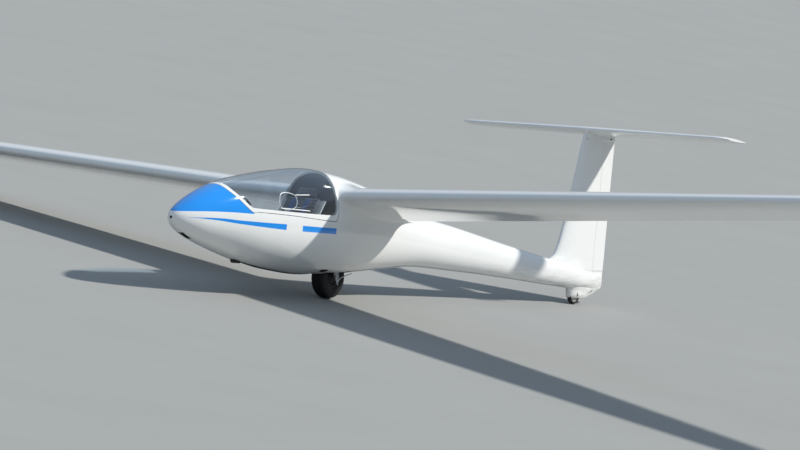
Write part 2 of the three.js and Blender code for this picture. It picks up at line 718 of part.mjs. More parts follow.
function tailplaneAt(y) {
  const row = TAILPLANE_SECTIONS.findIndex((section) => section[0] >= Math.max(Math.abs(y), 1));
  const [low, high] = [TAILPLANE_SECTIONS[row - 1], TAILPLANE_SECTIONS[row]];
  const t = (Math.abs(y) - low[0]) / (high[0] - low[0]);
  const [, sweep, chord, thickness] = low.map((value, i) => mix(value, high[i], t));
  const { station, height } = TAILPLANE_LEAD;
  return { station: station + sweep, height, chord, thickness, turn: tailplaneTurn };
}

function tailplaneRing(y) {
  const values = tailplaneAt(y);
  return sectionPoints(values.thickness, 0, FIN_POINTS).map(([x, z]) => {
    const [station, height] = chordPoint(values, x, z);
    return [-station, y, height];
  });
}

// Both elevators turn about one line across the tailplane, so each end's radius also takes in
// how far the section's own middle lies above or below that line.
function elevatorEnds(grow) {
  const hinge = (y) => sectionMiddle(tailplaneAt(y), 0, ELEVATOR.hinge);
  const [inner, outer] = [hinge(0), hinge(TAILPLANE_SECTIONS[1][0])];
  const [station, height] = ["station", "height"].map((key) => (inner[key] + outer[key]) / 2);
  return [ELEVATOR.from - grow, ELEVATOR.to + grow].map((y) => {
    const t = y / TAILPLANE_SECTIONS[1][0];
    const offset = Math.abs(mix(inner.height, outer.height, t) - height);
    return { y, station, height, radius: mix(inner.radius, outer.radius, t) + offset, turn: tailplaneTurn };
  });
}

const elevatorHinge = (side) => elevatorEnds(0).map((end) => spanPoint(side)(end, 0, 0));
const rudderHinge = () => rudderEnds(0).map((end) => finPoint(end, 0, 0));

function tailPieces(centre) {
  const places = TAILPLANE_SECTIONS.map((row) => row[0]);
  const across = [...places.slice(1).reverse().map((y) => -y), ...places];
  const tailplane = loft(across.map(tailplaneRing));
  const finWhole = loft(FIN_SECTIONS.map(finRing));
  const boom = bodyLoft([CENTRE_END, ...BOOM_STATIONS]);
  const behindCentre = block([CENTRE_END, FAIRING_TAIL.end], [-WIDE, WIDE], [0, TALL]);
  const wellHalf = TAIL_WHEEL.halfWidth + TAIL_WELL.side;
  const wellRadius = TAIL_WHEEL.radius + TAIL_WELL.clearance;
  const tailWell = turned(
    [[0, -wellHalf], [wellRadius, -wellHalf], [wellRadius, wellHalf], [0, wellHalf]],
    TAIL_WHEEL.station,
    TAIL_WHEEL.height,
    TAIL_WHEEL.steps,
  );
  const boomPiece = boom.add(centre.intersect(behindCentre)).subtract(withGap(finWhole));
  const seat = joined([-TOUCH_GAP, TOUCH_GAP].map((drop) => tailplane.translate([0, 0, drop])));
  const chordLine = (station) => [
    station,
    TAILPLANE_LEAD.height - (station - TAILPLANE_LEAD.station) * Math.tan(tailplaneTurn),
  ];
  const above = sidePlate([chordLine(5800), chordLine(6900), [6900, 1900], [5800, 1900]], -200, 200);
  const rudder = finWhole
    .intersect(controlSpace(rudderEnds(0), 0, finPoint))
    .subtract(endPins(rudderHinge(), PIN.slack));
  const fin = finWhole
    .subtract(controlSpace(rudderEnds(MOVE_GAP), MOVE_GAP, finPoint))
    .add(endPins(rudderHinge()))
    .subtract(seat)
    .subtract(above)
    .subtract(tailWell)
    .subtract(tailAxle(TOUCH_GAP));
  const elevators = [1, -1].map((side) => {
    const space = controlSpace(elevatorEnds(0), 0, spanPoint(side));
    return tailplane.intersect(space).subtract(endPins(elevatorHinge(side), PIN.slack));
  });
  const stabilizer = [1, -1].reduce(
    (solid, side) =>
      solid
        .subtract(controlSpace(elevatorEnds(MOVE_GAP), MOVE_GAP, spanPoint(side)))
        .add(endPins(elevatorHinge(side))),
    tailplane,
  );
  return { boom: boomPiece, fin, rudder, stabilizer, elevators };
}

// Wheels
function tyreProfile({ radius, halfWidth, rim }) {
  const crown = 1.12;
  const middle = (radius + rim) / 2;
  const rise = radius - middle;
  const round = (value) => Math.sign(value) * Math.abs(value) ** (1 / crown);
  return Array.from({ length: TYRE_POINTS }, (_, i) => {
    const angle = ((i + 0.5) / TYRE_POINTS) * 2 * Math.PI;
    return [middle + rise * round(Math.sin(angle)), halfWidth * round(Math.cos(angle))];
  });
}

function wheelPieces(wheel, bore) {
  const { station, height, rim, halfWidth, steps } = wheel;
  const core = [[0, -halfWidth], [rim + 6, -halfWidth], [rim + 6, halfWidth], [0, halfWidth]];
  const tyre = turned(tyreProfile(wheel), station, height, steps).subtract(
    turned(core, station, height, steps),
  );
  const edge = halfWidth * 0.72;
  const hub = halfWidth * 0.8;
  const drum = turned(
    [
      [bore, -hub], [rim * 0.42, -hub], [rim * 0.5, -edge * 0.6], [rim * 0.86, -edge * 0.6],
      [rim + 5.5, -edge], [rim + 5.5, edge], [rim * 0.86, edge * 0.6], [rim * 0.5, edge * 0.6],
      [rim * 0.42, hub], [bore, hub],
    ],
    station,
    height,
    steps,
  );
  return { tyre, rim: drum };
}

function mainGear() {
  const { station, height, halfWidth } = MAIN_WHEEL;
  const inner = halfWidth + 8;
  const fork = [1, -1].map((side) => {
    const ys = [side * inner, side * (inner + 10)].sort((a, b) => a - b);
    const outline = [
      [station - 26, height - 8], [station - 14, height - 24], [station + 14, height - 24],
      [station + 26, height - 8], [station + 60, WELL.roof - TOUCH_GAP],
      [station - 60, WELL.roof - TOUCH_GAP],
    ];
    const boreEnds = [inner - 10, inner + 30].map((reach) => [station, side * reach, height]);
    return sidePlate(outline, ...ys).subtract(bar(...boreEnds, AXLE_RADIUS + TOUCH_GAP));
  });
  const reach = inner + 10;
  const axle = joined([
    bar([station, -reach - 8, height], [station, reach + 8, height], AXLE_RADIUS),
    ...[1, -1].map((side) =>
      bar([station, side * (reach + TOUCH_GAP), height], [station, side * (reach + 8), height], 19, 6),
    ),
  ]);
  return { fork, axle };
}

// The drum brake's lever stands at the port end of the axle, with its pull rod running aft.
function brakeLever() {
  const { station, height, halfWidth } = MAIN_WHEEL;
  const y = halfWidth + 27;
  const corners = [[-12, -52], [4, -56], [22, -4], [-24, 2]];
  const lever = sidePlate(corners.map(([aft, up]) => [station + aft, height + up]), y, y + 5);
  const hole = bar([station, y - 20, height], [station, y + 20, height], 19 + TOUCH_GAP);
  const rod = bar([station - 8, y + 2.5, height - 48], [station + 215, y - 2, height + 44], 4, 10);
  const boss = bar([station - 4, y - 1, height - 50], [station - 4, y + 9, height - 50], 8, 12);
  return joined([lever.subtract(hole), rod, boss]);
}

function tailAxle(extra = 0) {
  const { station, height } = TAIL_WHEEL;
  const reach = TAIL_AXLE.half + extra;
  return bar([station, -reach, height], [station, reach, height], TAIL_AXLE.radius + extra);
}

// Cockpit
const SEAT_LINE = [
  [1195, 372], [1300, 338], [1420, 318], [1500, 330], [1580, 392], [1700, 560], [1820, 735], [1880, 822],
];

function thickLine(line, low, high) {
  const shifted = (distance) =>
    line.map((point, i) => {
      const before = line[Math.max(i - 1, 0)];
      const after = line[Math.min(i + 1, line.length - 1)];
      const length = Math.hypot(after[0] - before[0], after[1] - before[1]);
      const normal = [-(after[1] - before[1]) / length, (after[0] - before[0]) / length];
      return [point[0] + normal[0] * distance, point[1] + normal[1] * distance];
    });
  return [...shifted(low), ...shifted(high).reverse()];
}

function seatPieces() {
  const bottom = sidePlate(thickLine(SEAT_LINE.slice(0, 6), -12, 0), -260, 260);
  const back = sidePlate(thickLine(SEAT_LINE.slice(4), -12, 0), -205, 205);
  const pan = bottom.add(back).intersect(cockpitSpace);
  const bottomCushion = sidePlate(thickLine(SEAT_LINE.slice(0, 4), 0.5, 38), -165, 165);
  const backCushion = sidePlate(thickLine(SEAT_LINE.slice(5, 8), 0.5, 42), -168, 168);
  const [below, top] = SEAT_LINE.slice(-2);
  const beyondBack = (share) => [0, 1].map((axis) => mix(below[axis], top[axis], 1 + share));
  const headrest = sidePlate(thickLine([beyondBack(0.12), beyondBack(0.95)], -24, 42), -95, 95);
  const post = sidePlate(thickLine([beyondBack(-0.4), beyondBack(0.3)], -24, -12 - TOUCH_GAP), -30, 30);
  return { pan, bottomCushion, backCushion, headrest: headrest.add(post) };
}

function harness() {
  const shoulder = [1, -1].map((side) => {
    const ys = [side * 48, side * 92].sort((a, b) => a - b);
    return sidePlate(thickLine(SEAT_LINE.slice(5, 8), 42.5, 45.5), ...ys);
  });
  const yoke = [0, -1].map((end) => {
    const line = SEAT_LINE.slice(5, 8);
    const [from, to] = end ? [line[2], line[1]] : [line[0], line[1]];
    const near = [mix(from[0], to[0], 0.25), mix(from[1], to[1], 0.25)];
    const piece = end ? [near, from] : [from, near];
    return sidePlate(thickLine(piece, 42.5, 45.5), -92, 92);
  });
  return joined([...shoulder, ...yoke]);
}

const PANEL_SIDE = [[85, 470], [85, 590], [168, 640], [168, 770], [130, 806]];
const DIALS = [
  // y, height, outer radius
  [-105, 730, 30],
  [0, 748, 36],
  [105, 730, 30],
  [-48, 655, 30],
  [48, 655, 30],
  [0, 560, 34],
];

function instrumentPanel() {
  const mirrored = PANEL_SIDE.map(([y, z]) => [-y, z]).reverse();
  const plate = frontPlate([...PANEL_SIDE, ...mirrored], 862, 872);
  const rings = DIALS.map(([y, z, radius]) =>
    bar([870, y, z], [880, y, z], radius, 16).subtract(bar([877, y, z], [884, y, z], radius - 4, 16)),
  );
  const pedestal = block([800, 862.5], [-60, 60], [332, 640]);
  return joined([plate, ...rings, pedestal]).intersect(cockpitSpace);
}

function panelHood() {
  const rear = 862 - TOUCH_GAP;
  return sidePlate([[640, 782], [640, 792], [rear, 812], [rear, 796]], -128, 128).intersect(cockpitSpace);
}

function controlStick() {
  const boot = bar([1120, 0, 250], [1120, 0, 330], 70, 16, 26);
  const column = bar([1120, 0, 325], [1105, 0, 560], 10, 12);
  const grip = bar([1106, 0, 540], [1098, 0, 655], 16, 12, 19);
  return joined([boot, column, grip]).intersect(cockpitSpace);
}

function rudderPedals() {
  const floor = block([470, 560], [-90, 90], [380, 436]);
  const plates = [-70, 70].map((y) =>
    sidePlate([[490, 430], [504, 430], [486, 575], [472, 570]], y - 38, y + 38),
  );
  return joined([floor, ...plates]).intersect(cockpitSpace);
}

function airbrakeHandle() {
  const y = 236;
  const rod = bar([1120, y, 560], [1480, y, 545], 8, 10);
  const handle = bar([1135, y, 555], [1135, y - 46, 590], 13, 12);
  const bracket = (station) => block([station - 8, station + 8], [y - 6, y + 70], [535, 572]);
  return joined([rod, handle, bracket(1200), bracket(1440)]).intersect(cockpitSpace);
}

const level = new THREE.Group();

function place(name, solid, finish, extras = {}) {
  const { vertProperties, triVerts } = solid.getMesh();
  const indexed = new THREE.BufferGeometry();
  indexed.setAttribute("position", new THREE.BufferAttribute(vertProperties, 3));
  indexed.setIndex(new THREE.BufferAttribute(triVerts, 1));
  const geometry = indexed.toNonIndexed();
  geometry.computeVertexNormals();
  const mesh = new THREE.Mesh(geometry, new THREE.MeshStandardMaterial(finish));
  mesh.name = name;
  mesh.userData = extras;
  level.add(mesh);
}

place("fuselage_shell", fuselageShell(), WHITE);
place("nose_vent", noseVent(), BLACK);
place("nose_tow_hook", noseHook(), BLACK);
const release = bellyHook(BELLY_HOOK);
place("belly_tow_hook", release.solid, BLACK, { low: release.low });
place("belly_strip", bellyStrip(BELLY_STRIP), BLACK);

const canopy = canopyPieces();
const hingePoints = CANOPY_HINGE.map(([station, y, z]) => [-station, y, z]);
place("canopy_frame", canopy.frame, WHITE, { hinge: hingePoints });
place("canopy_glass", canopy.glass, GLASS);
place("canopy_hinge_front", canopyHinge(CANOPY_HINGE[0]), ALLOY);
place("canopy_hinge_rear", canopyHinge(CANOPY_HINGE[1]), ALLOY);

const centre = centreWhole();
const tail = tailPieces(centre);
place("fuselage_centre", fuselageCentre(centre), WHITE);
place("tail_boom", tail.boom, WHITE);
place("fin", tail.fin, WHITE);
place("rudder", tail.rudder, WHITE, { hinge: rudderHinge() });
place("tailplane", tail.stabilizer, WHITE);
place("elevator_port", tail.elevators[0], WHITE, { hinge: elevatorHinge(1) });
place("elevator_starboard", tail.elevators[1], WHITE, { hinge: elevatorHinge(-1) });

let skidLow = 0;
[1, -1].forEach((side, i) => {
  const name = ["port", "starboard"][i];
  const wing = wingPieces(side);
  place(`wing_${name}`, wing.wing, WHITE);
  place(`aileron_${name}`, wing.aileron, WHITE, { hinge: wing.hinge });
  place(`airbrake_cap_${name}`, wing.cap, WHITE, { slide: wing.brakeUp.toArray() });
  place(`airbrake_blade_${name}`, wing.blade, ALLOY);
  const skid = tipSkid(side, wing.whole);
  skidLow = skid.low;
  place(`tip_skid_${name}`, skid.solid, BLACK);
});

const mainWheel = wheelPieces(MAIN_WHEEL, AXLE_RADIUS + 0.5);
place("main_tyre", mainWheel.tyre, RUBBER);
place("main_rim", mainWheel.rim, ALLOY, { axle: [MAIN_WHEEL.station, 0, MAIN_WHEEL.height] });
const gear = mainGear();
place("main_fork_port", gear.fork[0], STEEL);
place("main_fork_starboard", gear.fork[1], STEEL);
place("main_axle", gear.axle, STEEL);
place("brake_lever", brakeLever(), ALLOY);
const tailWheel = wheelPieces(TAIL_WHEEL, TAIL_AXLE.radius + 0.5);
place("tail_tyre", tailWheel.tyre, RUBBER);
place("tail_rim", tailWheel.rim, ALLOY, { axle: [TAIL_WHEEL.station, 0, TAIL_WHEEL.height] });
place("tail_axle", tailAxle(), STEEL);

const seat = seatPieces();
place("seat_pan", seat.pan, INTERIOR);
place("seat_cushion", seat.bottomCushion, CLOTH);
place("back_cushion", seat.backCushion, CLOTH);
place("headrest", seat.headrest, CLOTH);
place("harness", harness(), WEBBING);
place("instrument_panel", instrumentPanel(), BLACK);
place("panel_hood", panelHood(), BLACK);
place("control_stick", controlStick(), BLACK);
place("rudder_pedals", rudderPedals(), STEEL);
place("airbrake_handle", airbrakeHandle(), ALLOY);

// The lean that brings the starboard skid and the main tyre's round crown to the same height.
const crown = MAIN_WHEEL.halfWidth;
const skidHalf = TIP_SKID.thickness / 2;
const arm = Math.hypot(skidLow - crown, TIP_SKID.y + skidHalf);
const lean = Math.acos(-crown / arm) - Math.atan2(TIP_SKID.y + skidHalf, skidLow - crown);
level.rotation.x = lean;

const sailplane = new THREE.Group();
sailplane.add(level);
sailplane.updateMatrixWorld(true);
const box = new THREE.Box3().setFromObject(sailplane, true);
level.position.set(-(box.min.x + box.max.x) / 2, -(box.min.y + box.max.y) / 2, -box.min.z);

export default sailplane;
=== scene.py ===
import json
import math
from types import SimpleNamespace as Sizes

import bmesh
import bpy
import numpy as np
from mathutils import Matrix, Vector
from mathutils.bvhtree import BVHTree


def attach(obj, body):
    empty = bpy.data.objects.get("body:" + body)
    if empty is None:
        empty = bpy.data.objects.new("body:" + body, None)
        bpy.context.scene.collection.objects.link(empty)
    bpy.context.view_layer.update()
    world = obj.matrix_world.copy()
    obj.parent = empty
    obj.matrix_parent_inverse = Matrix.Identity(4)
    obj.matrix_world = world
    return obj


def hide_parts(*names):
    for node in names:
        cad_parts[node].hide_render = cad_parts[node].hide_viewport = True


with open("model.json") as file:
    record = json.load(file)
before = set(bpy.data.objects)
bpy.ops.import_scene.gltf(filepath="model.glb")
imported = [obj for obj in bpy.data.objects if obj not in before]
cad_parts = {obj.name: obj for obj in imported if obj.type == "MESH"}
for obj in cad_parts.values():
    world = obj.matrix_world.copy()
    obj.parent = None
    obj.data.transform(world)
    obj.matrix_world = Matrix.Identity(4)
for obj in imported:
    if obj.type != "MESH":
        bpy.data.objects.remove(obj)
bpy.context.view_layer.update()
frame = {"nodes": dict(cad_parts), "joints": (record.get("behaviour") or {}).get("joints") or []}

# The main wheel's joint says how the level frame stands and leans in the row's frame.
MAIN_WHEEL = Sizes(station=2.285, height=0.175, radius=0.175, half_width=0.0675, rim=0.078)
TAIL_WHEEL = Sizes(station=6.118, height=0.080, radius=0.080, half_width=0.019, rim=0.056)
joints = {joint["name"]: joint for joint in frame["joints"]}
wheel_joint = joints["main_wheel_spin"]
lean = math.atan2(wheel_joint["axis"][2], wheel_joint["axis"][1])
LEVEL = (
    Matrix.Translation(wheel_joint["pos_m"])
    @ Matrix.Rotation(lean, 4, "X")
    @ Matrix.Translation((MAIN_WHEEL.station, 0, -MAIN_WHEEL.height))
)

# Camera, in the level frame, fitted to the photo's view of the glider
CAMERA = Sizes(target=(-3.3085, 0.0, 0.6416), azimuth=34.3609, elevation=1.0579, roll=3.8961,
               distance=54.91, lens=288.4)


def make_camera():
    azimuth, elevation, roll = (math.radians(a) for a in (CAMERA.azimuth, CAMERA.elevation, CAMERA.roll))
    flat = math.cos(elevation)
    back = Vector((math.cos(azimuth) * flat, math.sin(azimuth) * flat, math.sin(elevation)))
    across = (-back).cross(Vector((0, 0, 1))).normalized()
    up = across.cross(-back)
    right = across * math.cos(roll) + up * math.sin(roll)
    above = up * math.cos(roll) - across * math.sin(roll)
    turn = Matrix((right, above, back)).transposed().to_4x4()
    data = bpy.data.cameras.new("camera")
    data.lens = CAMERA.lens
    data.sensor_width = 36
    data.clip_end = 2000
    camera = bpy.data.objects.new("camera", data)
    bpy.context.scene.collection.objects.link(camera)
    place = Vector(CAMERA.target) + back * CAMERA.distance
    camera.matrix_world = LEVEL @ Matrix.Translation(place) @ turn
    bpy.context.scene.camera = camera


make_camera()

# Fuselage
BODY_SECTIONS = [
    # station, top height, bottom height, half width
    (0.000, 0.631, 0.631, 0.000),
    (0.020, 0.676, 0.592, 0.042),
    (0.050, 0.703, 0.567, 0.068),
    (0.110, 0.738, 0.528, 0.103),
    (0.250, 0.806, 0.468, 0.157),
    (0.450, 0.885, 0.410, 0.205),
    (0.700, 0.958, 0.347, 0.250),
    (1.000, 1.009, 0.283, 0.285),
    (1.400, 1.058, 0.229, 0.305),
    (1.800, 1.084, 0.201, 0.308),
    (2.200, 1.045, 0.203, 0.295),
    (2.600, 0.975, 0.227, 0.262),
    (3.000, 0.874, 0.258, 0.220),
    (3.500, 0.742, 0.286, 0.175),
    (4.200, 0.632, 0.259, 0.135),
    (5.000, 0.500, 0.212, 0.108),
    (5.600, 0.410, 0.169, 0.095),
    (6.000, 0.356, 0.142, 0.086),
    (6.200, 0.322, 0.130, 0.075),
    (6.350, 0.296, 0.127, 0.058),
    (6.460, 0.291, 0.138, 0.034),
    (6.560, 0.286, 0.163, 0.008),
]
BODY_POWER = 2.15
BODY_WAIST = 0.48
BODY_POINTS = 112
SHELL_END = 2.060
SHELL_WALL = 0.018
HOLLOW_FROM = 0.060
HOLLOW_TO = 1.985
CENTRE_END = 2.760
BOOM_END = 6.560
MOVE_GAP = 0.005
TOUCH_GAP = 0.0003

# Canopy, as side-view outlines of station and height
CANOPY_OUTLINE = [
    (0.785, 0.703), (0.700, 0.757), (0.640, 0.808), (0.590, 0.852), (0.560, 0.895), (0.552, 0.960),
    (0.552, 1.200), (2.034, 1.200), (2.012, 1.090), (1.984, 1.000), (1.979, 0.930), (1.972, 0.850),
    (1.962, 0.760), (1.950, 0.700), (1.930, 0.666), (1.900, 0.655), (1.700, 0.664), (1.400, 0.683),
    (1.100, 0.697), (0.850, 0.704),
]
GLASS_OUTLINE = [
    (0.800, 0.741), (0.760, 0.757), (0.715, 0.790), (0.673, 0.825), (0.640, 0.855), (0.615, 0.885),
    (0.602, 0.930), (0.600, 1.200), (2.018, 1.200), (1.996, 1.090), (1.970, 1.000), (1.965, 0.930),
    (1.957, 0.850), (1.942, 0.772), (1.926, 0.733), (1.905, 0.714), (1.870, 0.708), (1.533, 0.715),
    (1.256, 0.723), (0.994, 0.732),
]
CANOPY_DEPTH = 0.022
GLASS_THICKNESS = 0.005
CLOSING_HEIGHT = 1.1
OPEN_HALF = 0.400

# Wing
WING_ROOT_Y = 0.345
WING_BREAK_Y = 4.500
WING_OUTER_Y = 7.200
HALF_SPAN = 7.500
WING_LEAD = Sizes(station=2.007, height=0.863)
WING_DIHEDRAL = 0.0549
WING_SECTIONS = [
    # spanwise place, leading edge sweep, chord, incidence in degrees, thickness ratio
    (0.0, 0.000, 1.026, 11.1, 0.175),
    (WING_BREAK_Y, 0.086, 0.820, 9.9, 0.160),
    (WING_OUTER_Y, 0.200, 0.572, 9.2, 0.145),
    (7.400, 0.222, 0.500, 9.2, 0.130),
    (7.470, 0.250, 0.420, 9.2, 0.110),
    (HALF_SPAN, 0.300, 0.290, 9.2, 0.090),
]
THICKNESS_CURVE = (0.2969, -0.126, -0.3516, 0.2843, -0.1015)
WING_CAMBER = 0.032
WING_CAMBER_PLACE = 0.45
WING_STEPS = 40
TAILPLANE_STEPS = 28
FINE_STEPS = 200
HINGE_FILL = 0.985
AILERON = Sizes(start=4.520, to=7.150, hinge=0.78, incidence=9.5)
CONTROL_SPACE = Sizes(reach=0.420, spread=0.150, arc_steps=24)
BRAKE = Sizes(start=1.750, to=3.100, chord_place=0.52, skin_slope=3, cap_width=0.044,
              cap_depth=0.006, above=0.06)
BRAKE_BLADE = Sizes(height=0.098, thickness=0.008, slot_depth=0.111, short=0.012)
BRAKE_RAIL = Sizes(half_width=0.0015, grip=0.006, top=0.012, root=0.002)
PIN = Sizes(radius=0.005, slack=0.0004, inside=0.016, outside=0.018)
TIP_SKID = Sizes(y=7.400, station=2.440, length=0.230, thickness=0.014, depth=0.075,
                 chord_place=0.4, sink=0.02, bow=0.06, root=0.01, steps=32)

# Tail
FIN_SECTIONS = [
    # height, leading station, trailing station, half thickness
    (0.058, 6.034, 6.338, 0.040),
    (0.072, 6.018, 6.378, 0.047),
    (0.123, 6.014, 6.495, 0.053),
    (0.158, 5.994, 6.561, 0.056),
    (0.300, 5.560, 6.573, 0.060),
    (0.380, 5.640, 6.578, 0.054),
    (0.431, 5.743, 6.582, 0.050),
    (0.494, 5.788, 6.584, 0.047),
    (0.602, 5.836, 6.588, 0.045),
    (1.560, 6.128, 6.635, 0.031),
]
RUDDER = Sizes(low=0.304, high=1.468, low_hinge=6.372, high_hinge=6.435)
TAILPLANE_LEAD = Sizes(station=6.108, height=1.567)
TAILPLANE_SECTIONS = [
    # spanwise place, leading edge sweep, chord, thickness ratio
    (0.000, 0.000, 0.582, 0.125),
    (1.290, 0.092, 0.462, 0.115),
    (1.345, 0.106, 0.438, 0.105),
    (1.380, 0.135, 0.395, 0.090),
    (1.395, 0.185, 0.325, 0.070),
]
TAILPLANE_TURN = math.radians(5)
ELEVATOR = Sizes(start=0.135, to=1.275, hinge=0.7)
WELL = Sizes(clearance=0.009, end_room=0.006, half_width=0.098, floor=0.1, roof=0.392)
TAIL_WELL = Sizes(clearance=0.006, side=0.006)


def new_piece(mesh, name="piece"):
    piece = bpy.data.objects.new(name, mesh)
    bpy.context.scene.collection.objects.link(piece)
    return piece


def solid(points, faces):
    """A closed piece from points and faces, with its faces turned out."""
    mesh = bpy.data.meshes.new("piece")
    mesh.from_pydata([tuple(point) for point in points], [], faces)
    work = bmesh.new()
    work.from_mesh(mesh)
    bmesh.ops.recalc_face_normals(work, faces=work.faces)
    work.to_mesh(mesh)
    work.free()
    return new_piece(mesh)


def loft(rings, tips=(None, None)):
    """A closed skin through rings of points, with a fan to a tip at each end."""
    rings = np.asarray(rings, float)
    count, around = rings.shape[:2]
    ends = [ring.mean(0) if tip is None else tip for ring, tip in zip((rings[0], rings[-1]), tips)]
    points = np.vstack([rings.reshape(-1, 3), ends])
    faces = []
    for i in range(count - 1):
        for j in range(around):
            k = (j + 1) % around
            faces.append((i * around + j, i * around + k, (i + 1) * around + k, (i + 1) * around + j))
    last = (count - 1) * around
    for j in range(around):
        k = (j + 1) % around
        faces.append((count * around, k, j))
        faces.append((count * around + 1, last + j, last + k))
    return solid(points, faces)


def settle(piece):
    """Applies a piece's modifiers to its mesh."""
    depsgraph = bpy.context.evaluated_depsgraph_get()
    mesh = bpy.data.meshes.new_from_object(piece.evaluated_get(depsgraph))
    piece.modifiers.clear()
    piece.data = mesh
    return piece


def combine(piece, tool, operation):
    """Cuts, joins or intersects a piece with a tool, which is then removed."""
    step = piece.modifiers.new("combine", "BOOLEAN")
    step.operation = operation
    step.solver = "MANIFOLD"
    step.object = tool
    settle(piece)
    bpy.data.objects.remove(tool)
    return piece


def cut(piece, *tools):
    for tool in tools:
        combine(piece, tool, "DIFFERENCE")
    return piece


def join(piece, *tools):
    for tool in tools:
        combine(piece, tool, "UNION")
    return piece


def overlap(piece, tool):
    return combine(piece, tool, "INTERSECT")


def copy_of(piece):
    return new_piece(piece.data.copy())


def prism(outline, low, high, to_point):
    """A closed prism between two copies of an outline."""
    count = len(outline)
    points = [to_point(*pair, low) for pair in outline] + [to_point(*pair, high) for pair in outline]
    faces = [tuple(range(count)), tuple(reversed(range(count, 2 * count)))]
    faces += [(i, (i + 1) % count, (i + 1) % count + count, i + count) for i in range(count)]
    return solid(points, faces)


def side_plate(outline, low, high):
    """A plate with a side-view outline of stations and heights, from one y to another."""
    return prism(outline, low, high, lambda s, z, y: (-s, y, z))


def front_plate(outline, low, high):
    """A plate with a front-view outline of y and heights, from one station to another."""
    return prism(outline, low, high, lambda y, z, s: (-s, y, z))


def block(stations, widths, heights):
    outline = [(stations[0], heights[0]), (stations[1], heights[0]), (stations[1], heights[1]),
               (stations[0], heights[1])]
    return side_plate(outline, *widths)


def at(station, y, z):
    return Vector((-station, y, z))


def bar(start, end, radius, steps=24):
    """A round bar between two level points."""
    return revolved(start, end, [(0, radius), (1, radius)], steps)


def circle(radius, steps=16):
    angles = [2 * math.pi * i / steps for i in range(steps)]
    return [(radius * math.cos(a), radius * math.sin(a)) for a in angles]


def revolved(start, end, profile, steps=48):
    """A round solid about the line between two points, from a profile of shares and radii."""
    start, end = Vector(start), Vector(end)
    along = end - start
    side = along.orthogonal().normalized()
    other = along.normalized().cross(side)
    unit = circle(1.0, steps)
    rings = []
    for share, radius in profile:
        middle = start + along * share
        rings.append([middle + (side * x + other * y) * radius for x, y in unit])
    return loft(rings)


def turned(profile, station, height, steps=64):
    """A closed ring turned about an axle along y, from a closed profile of radius and y."""
    count = len(profile)
    points = []
    for i in range(steps):
        angle = 2 * math.pi * i / steps
        for radius, y in profile:
            points.append((-station + radius * math.sin(angle), y, height + radius * math.cos(angle)))
    faces = []
    for i in range(steps):
        for j in range(count):
            k, n = (j + 1) % count, (i + 1) % steps
            faces.append((i * count + j, i * count + k, n * count + k, n * count + j))
    return solid(points, faces)


def curve_shares(t):
    """Shares of a start, its slope, an end and its slope at a place between them."""
    return 2 * t**3 - 3 * t**2 + 1, t**3 - 2 * t**2 + t, 3 * t**2 - 2 * t**3, t**3 - t**2


def curve_through(xs, ys):
    """A monotone cubic curve through a table's points."""
    xs, ys = np.asarray(xs, float), np.asarray(ys, float)
    slopes = np.diff(ys) / np.diff(xs)
    tangents = np.empty(len(xs))
    tangents[0], tangents[-1] = slopes[0], slopes[-1]
    for i in range(1, len(xs) - 1):
        left, right = slopes[i - 1], slopes[i]
        tangents[i] = 0 if left * right <= 0 else 2 * left * right / (left + right)

    def value(x):
        i = int(np.clip(np.searchsorted(xs, x, side="left") - 1, 0, len(xs) - 2))
        width = xs[i + 1] - xs[i]
        start, leave, end, enter = curve_shares((x - xs[i]) / width)
        return (start * ys[i] + leave * width * tangents[i] + end * ys[i + 1]
                + enter * width * tangents[i + 1])

    return value


# The curves run against the root of the station, so the nose is round.
body_roots = [math.sqrt(row[0]) for row in BODY_SECTIONS]
body_curves = [curve_through(body_roots, [row[column] for row in BODY_SECTIONS]) for column in (1, 2, 3)]


def body_size(station):
    """Top height, bottom height and half width of the fuselage."""
    return [curve(math.sqrt(station)) for curve in body_curves]


def body_ring(station, inset=0.0):
    top, bottom, half = body_size(station)
    top, bottom, half = top - inset, bottom + inset, half - inset
    waist = bottom + (top - bottom) * BODY_WAIST
    angles = 2 * math.pi * np.arange(BODY_POINTS) / BODY_POINTS
    across = np.sign(np.cos(angles)) * np.abs(np.cos(angles)) ** (2 / BODY_POWER)
    up = np.sign(np.sin(angles)) * np.abs(np.sin(angles)) ** (2 / BODY_POWER)
    rise = np.where(up > 0, top - waist, waist - bottom)
    return np.column_stack([np.full(BODY_POINTS, -station), half * across, waist + rise * up])


def body_rings(stations, inset=0.0):
    return [body_ring(station, inset) for station in stations]


def eased(values):
    """Shares from 0 to 1 that start and end gently."""
    shares = np.clip(values, 0, 1)
    return shares * shares * (3 - 2 * shares)


def places(*runs):
    """Places along a piece, from runs of first place, last place and count."""
    return np.concatenate([np.linspace(*run) for run in runs])


def spread(low, high, steps):
    """Stations that lie closer together towards the nose."""
    return [x * x for x in np.linspace(math.sqrt(low), math.sqrt(high), steps)]


def body_side(station, height):
    """Half width of the fuselage at a height."""
    top, bottom, half = body_size(station)
    waist = bottom + (top - bottom) * BODY_WAIST
    reach = top - waist if height > waist else waist - bottom
    return half * max(0.0, 1 - abs((height - waist) / reach) ** BODY_POWER) ** (1 / BODY_POWER)


def body_top(station, y):
    """Height of the fuselage's upper side at a distance off its middle."""
    top, bottom, half = body_size(station)
    waist = bottom + (top - bottom) * BODY_WAIST
    return waist + (top - waist) * max(0.0, 1 - (abs(y) / half) ** BODY_POWER) ** (1 / BODY_POWER)


def grid_normals(rings):
    """Smooth outward normals of a skin's rings."""
    rings = np.asarray(rings, float)
    along = np.gradient(rings, axis=0)
    around = np.roll(rings, -1, axis=1) - np.roll(rings, 1, axis=1)
    normals = np.cross(along, around)
    normals /= np.maximum(np.linalg.norm(normals, axis=2, keepdims=True), 1e-12)
    outward = rings - rings.mean(axis=1, keepdims=True)
    if (normals * outward).sum() < 0:
        normals = -normals
    return normals


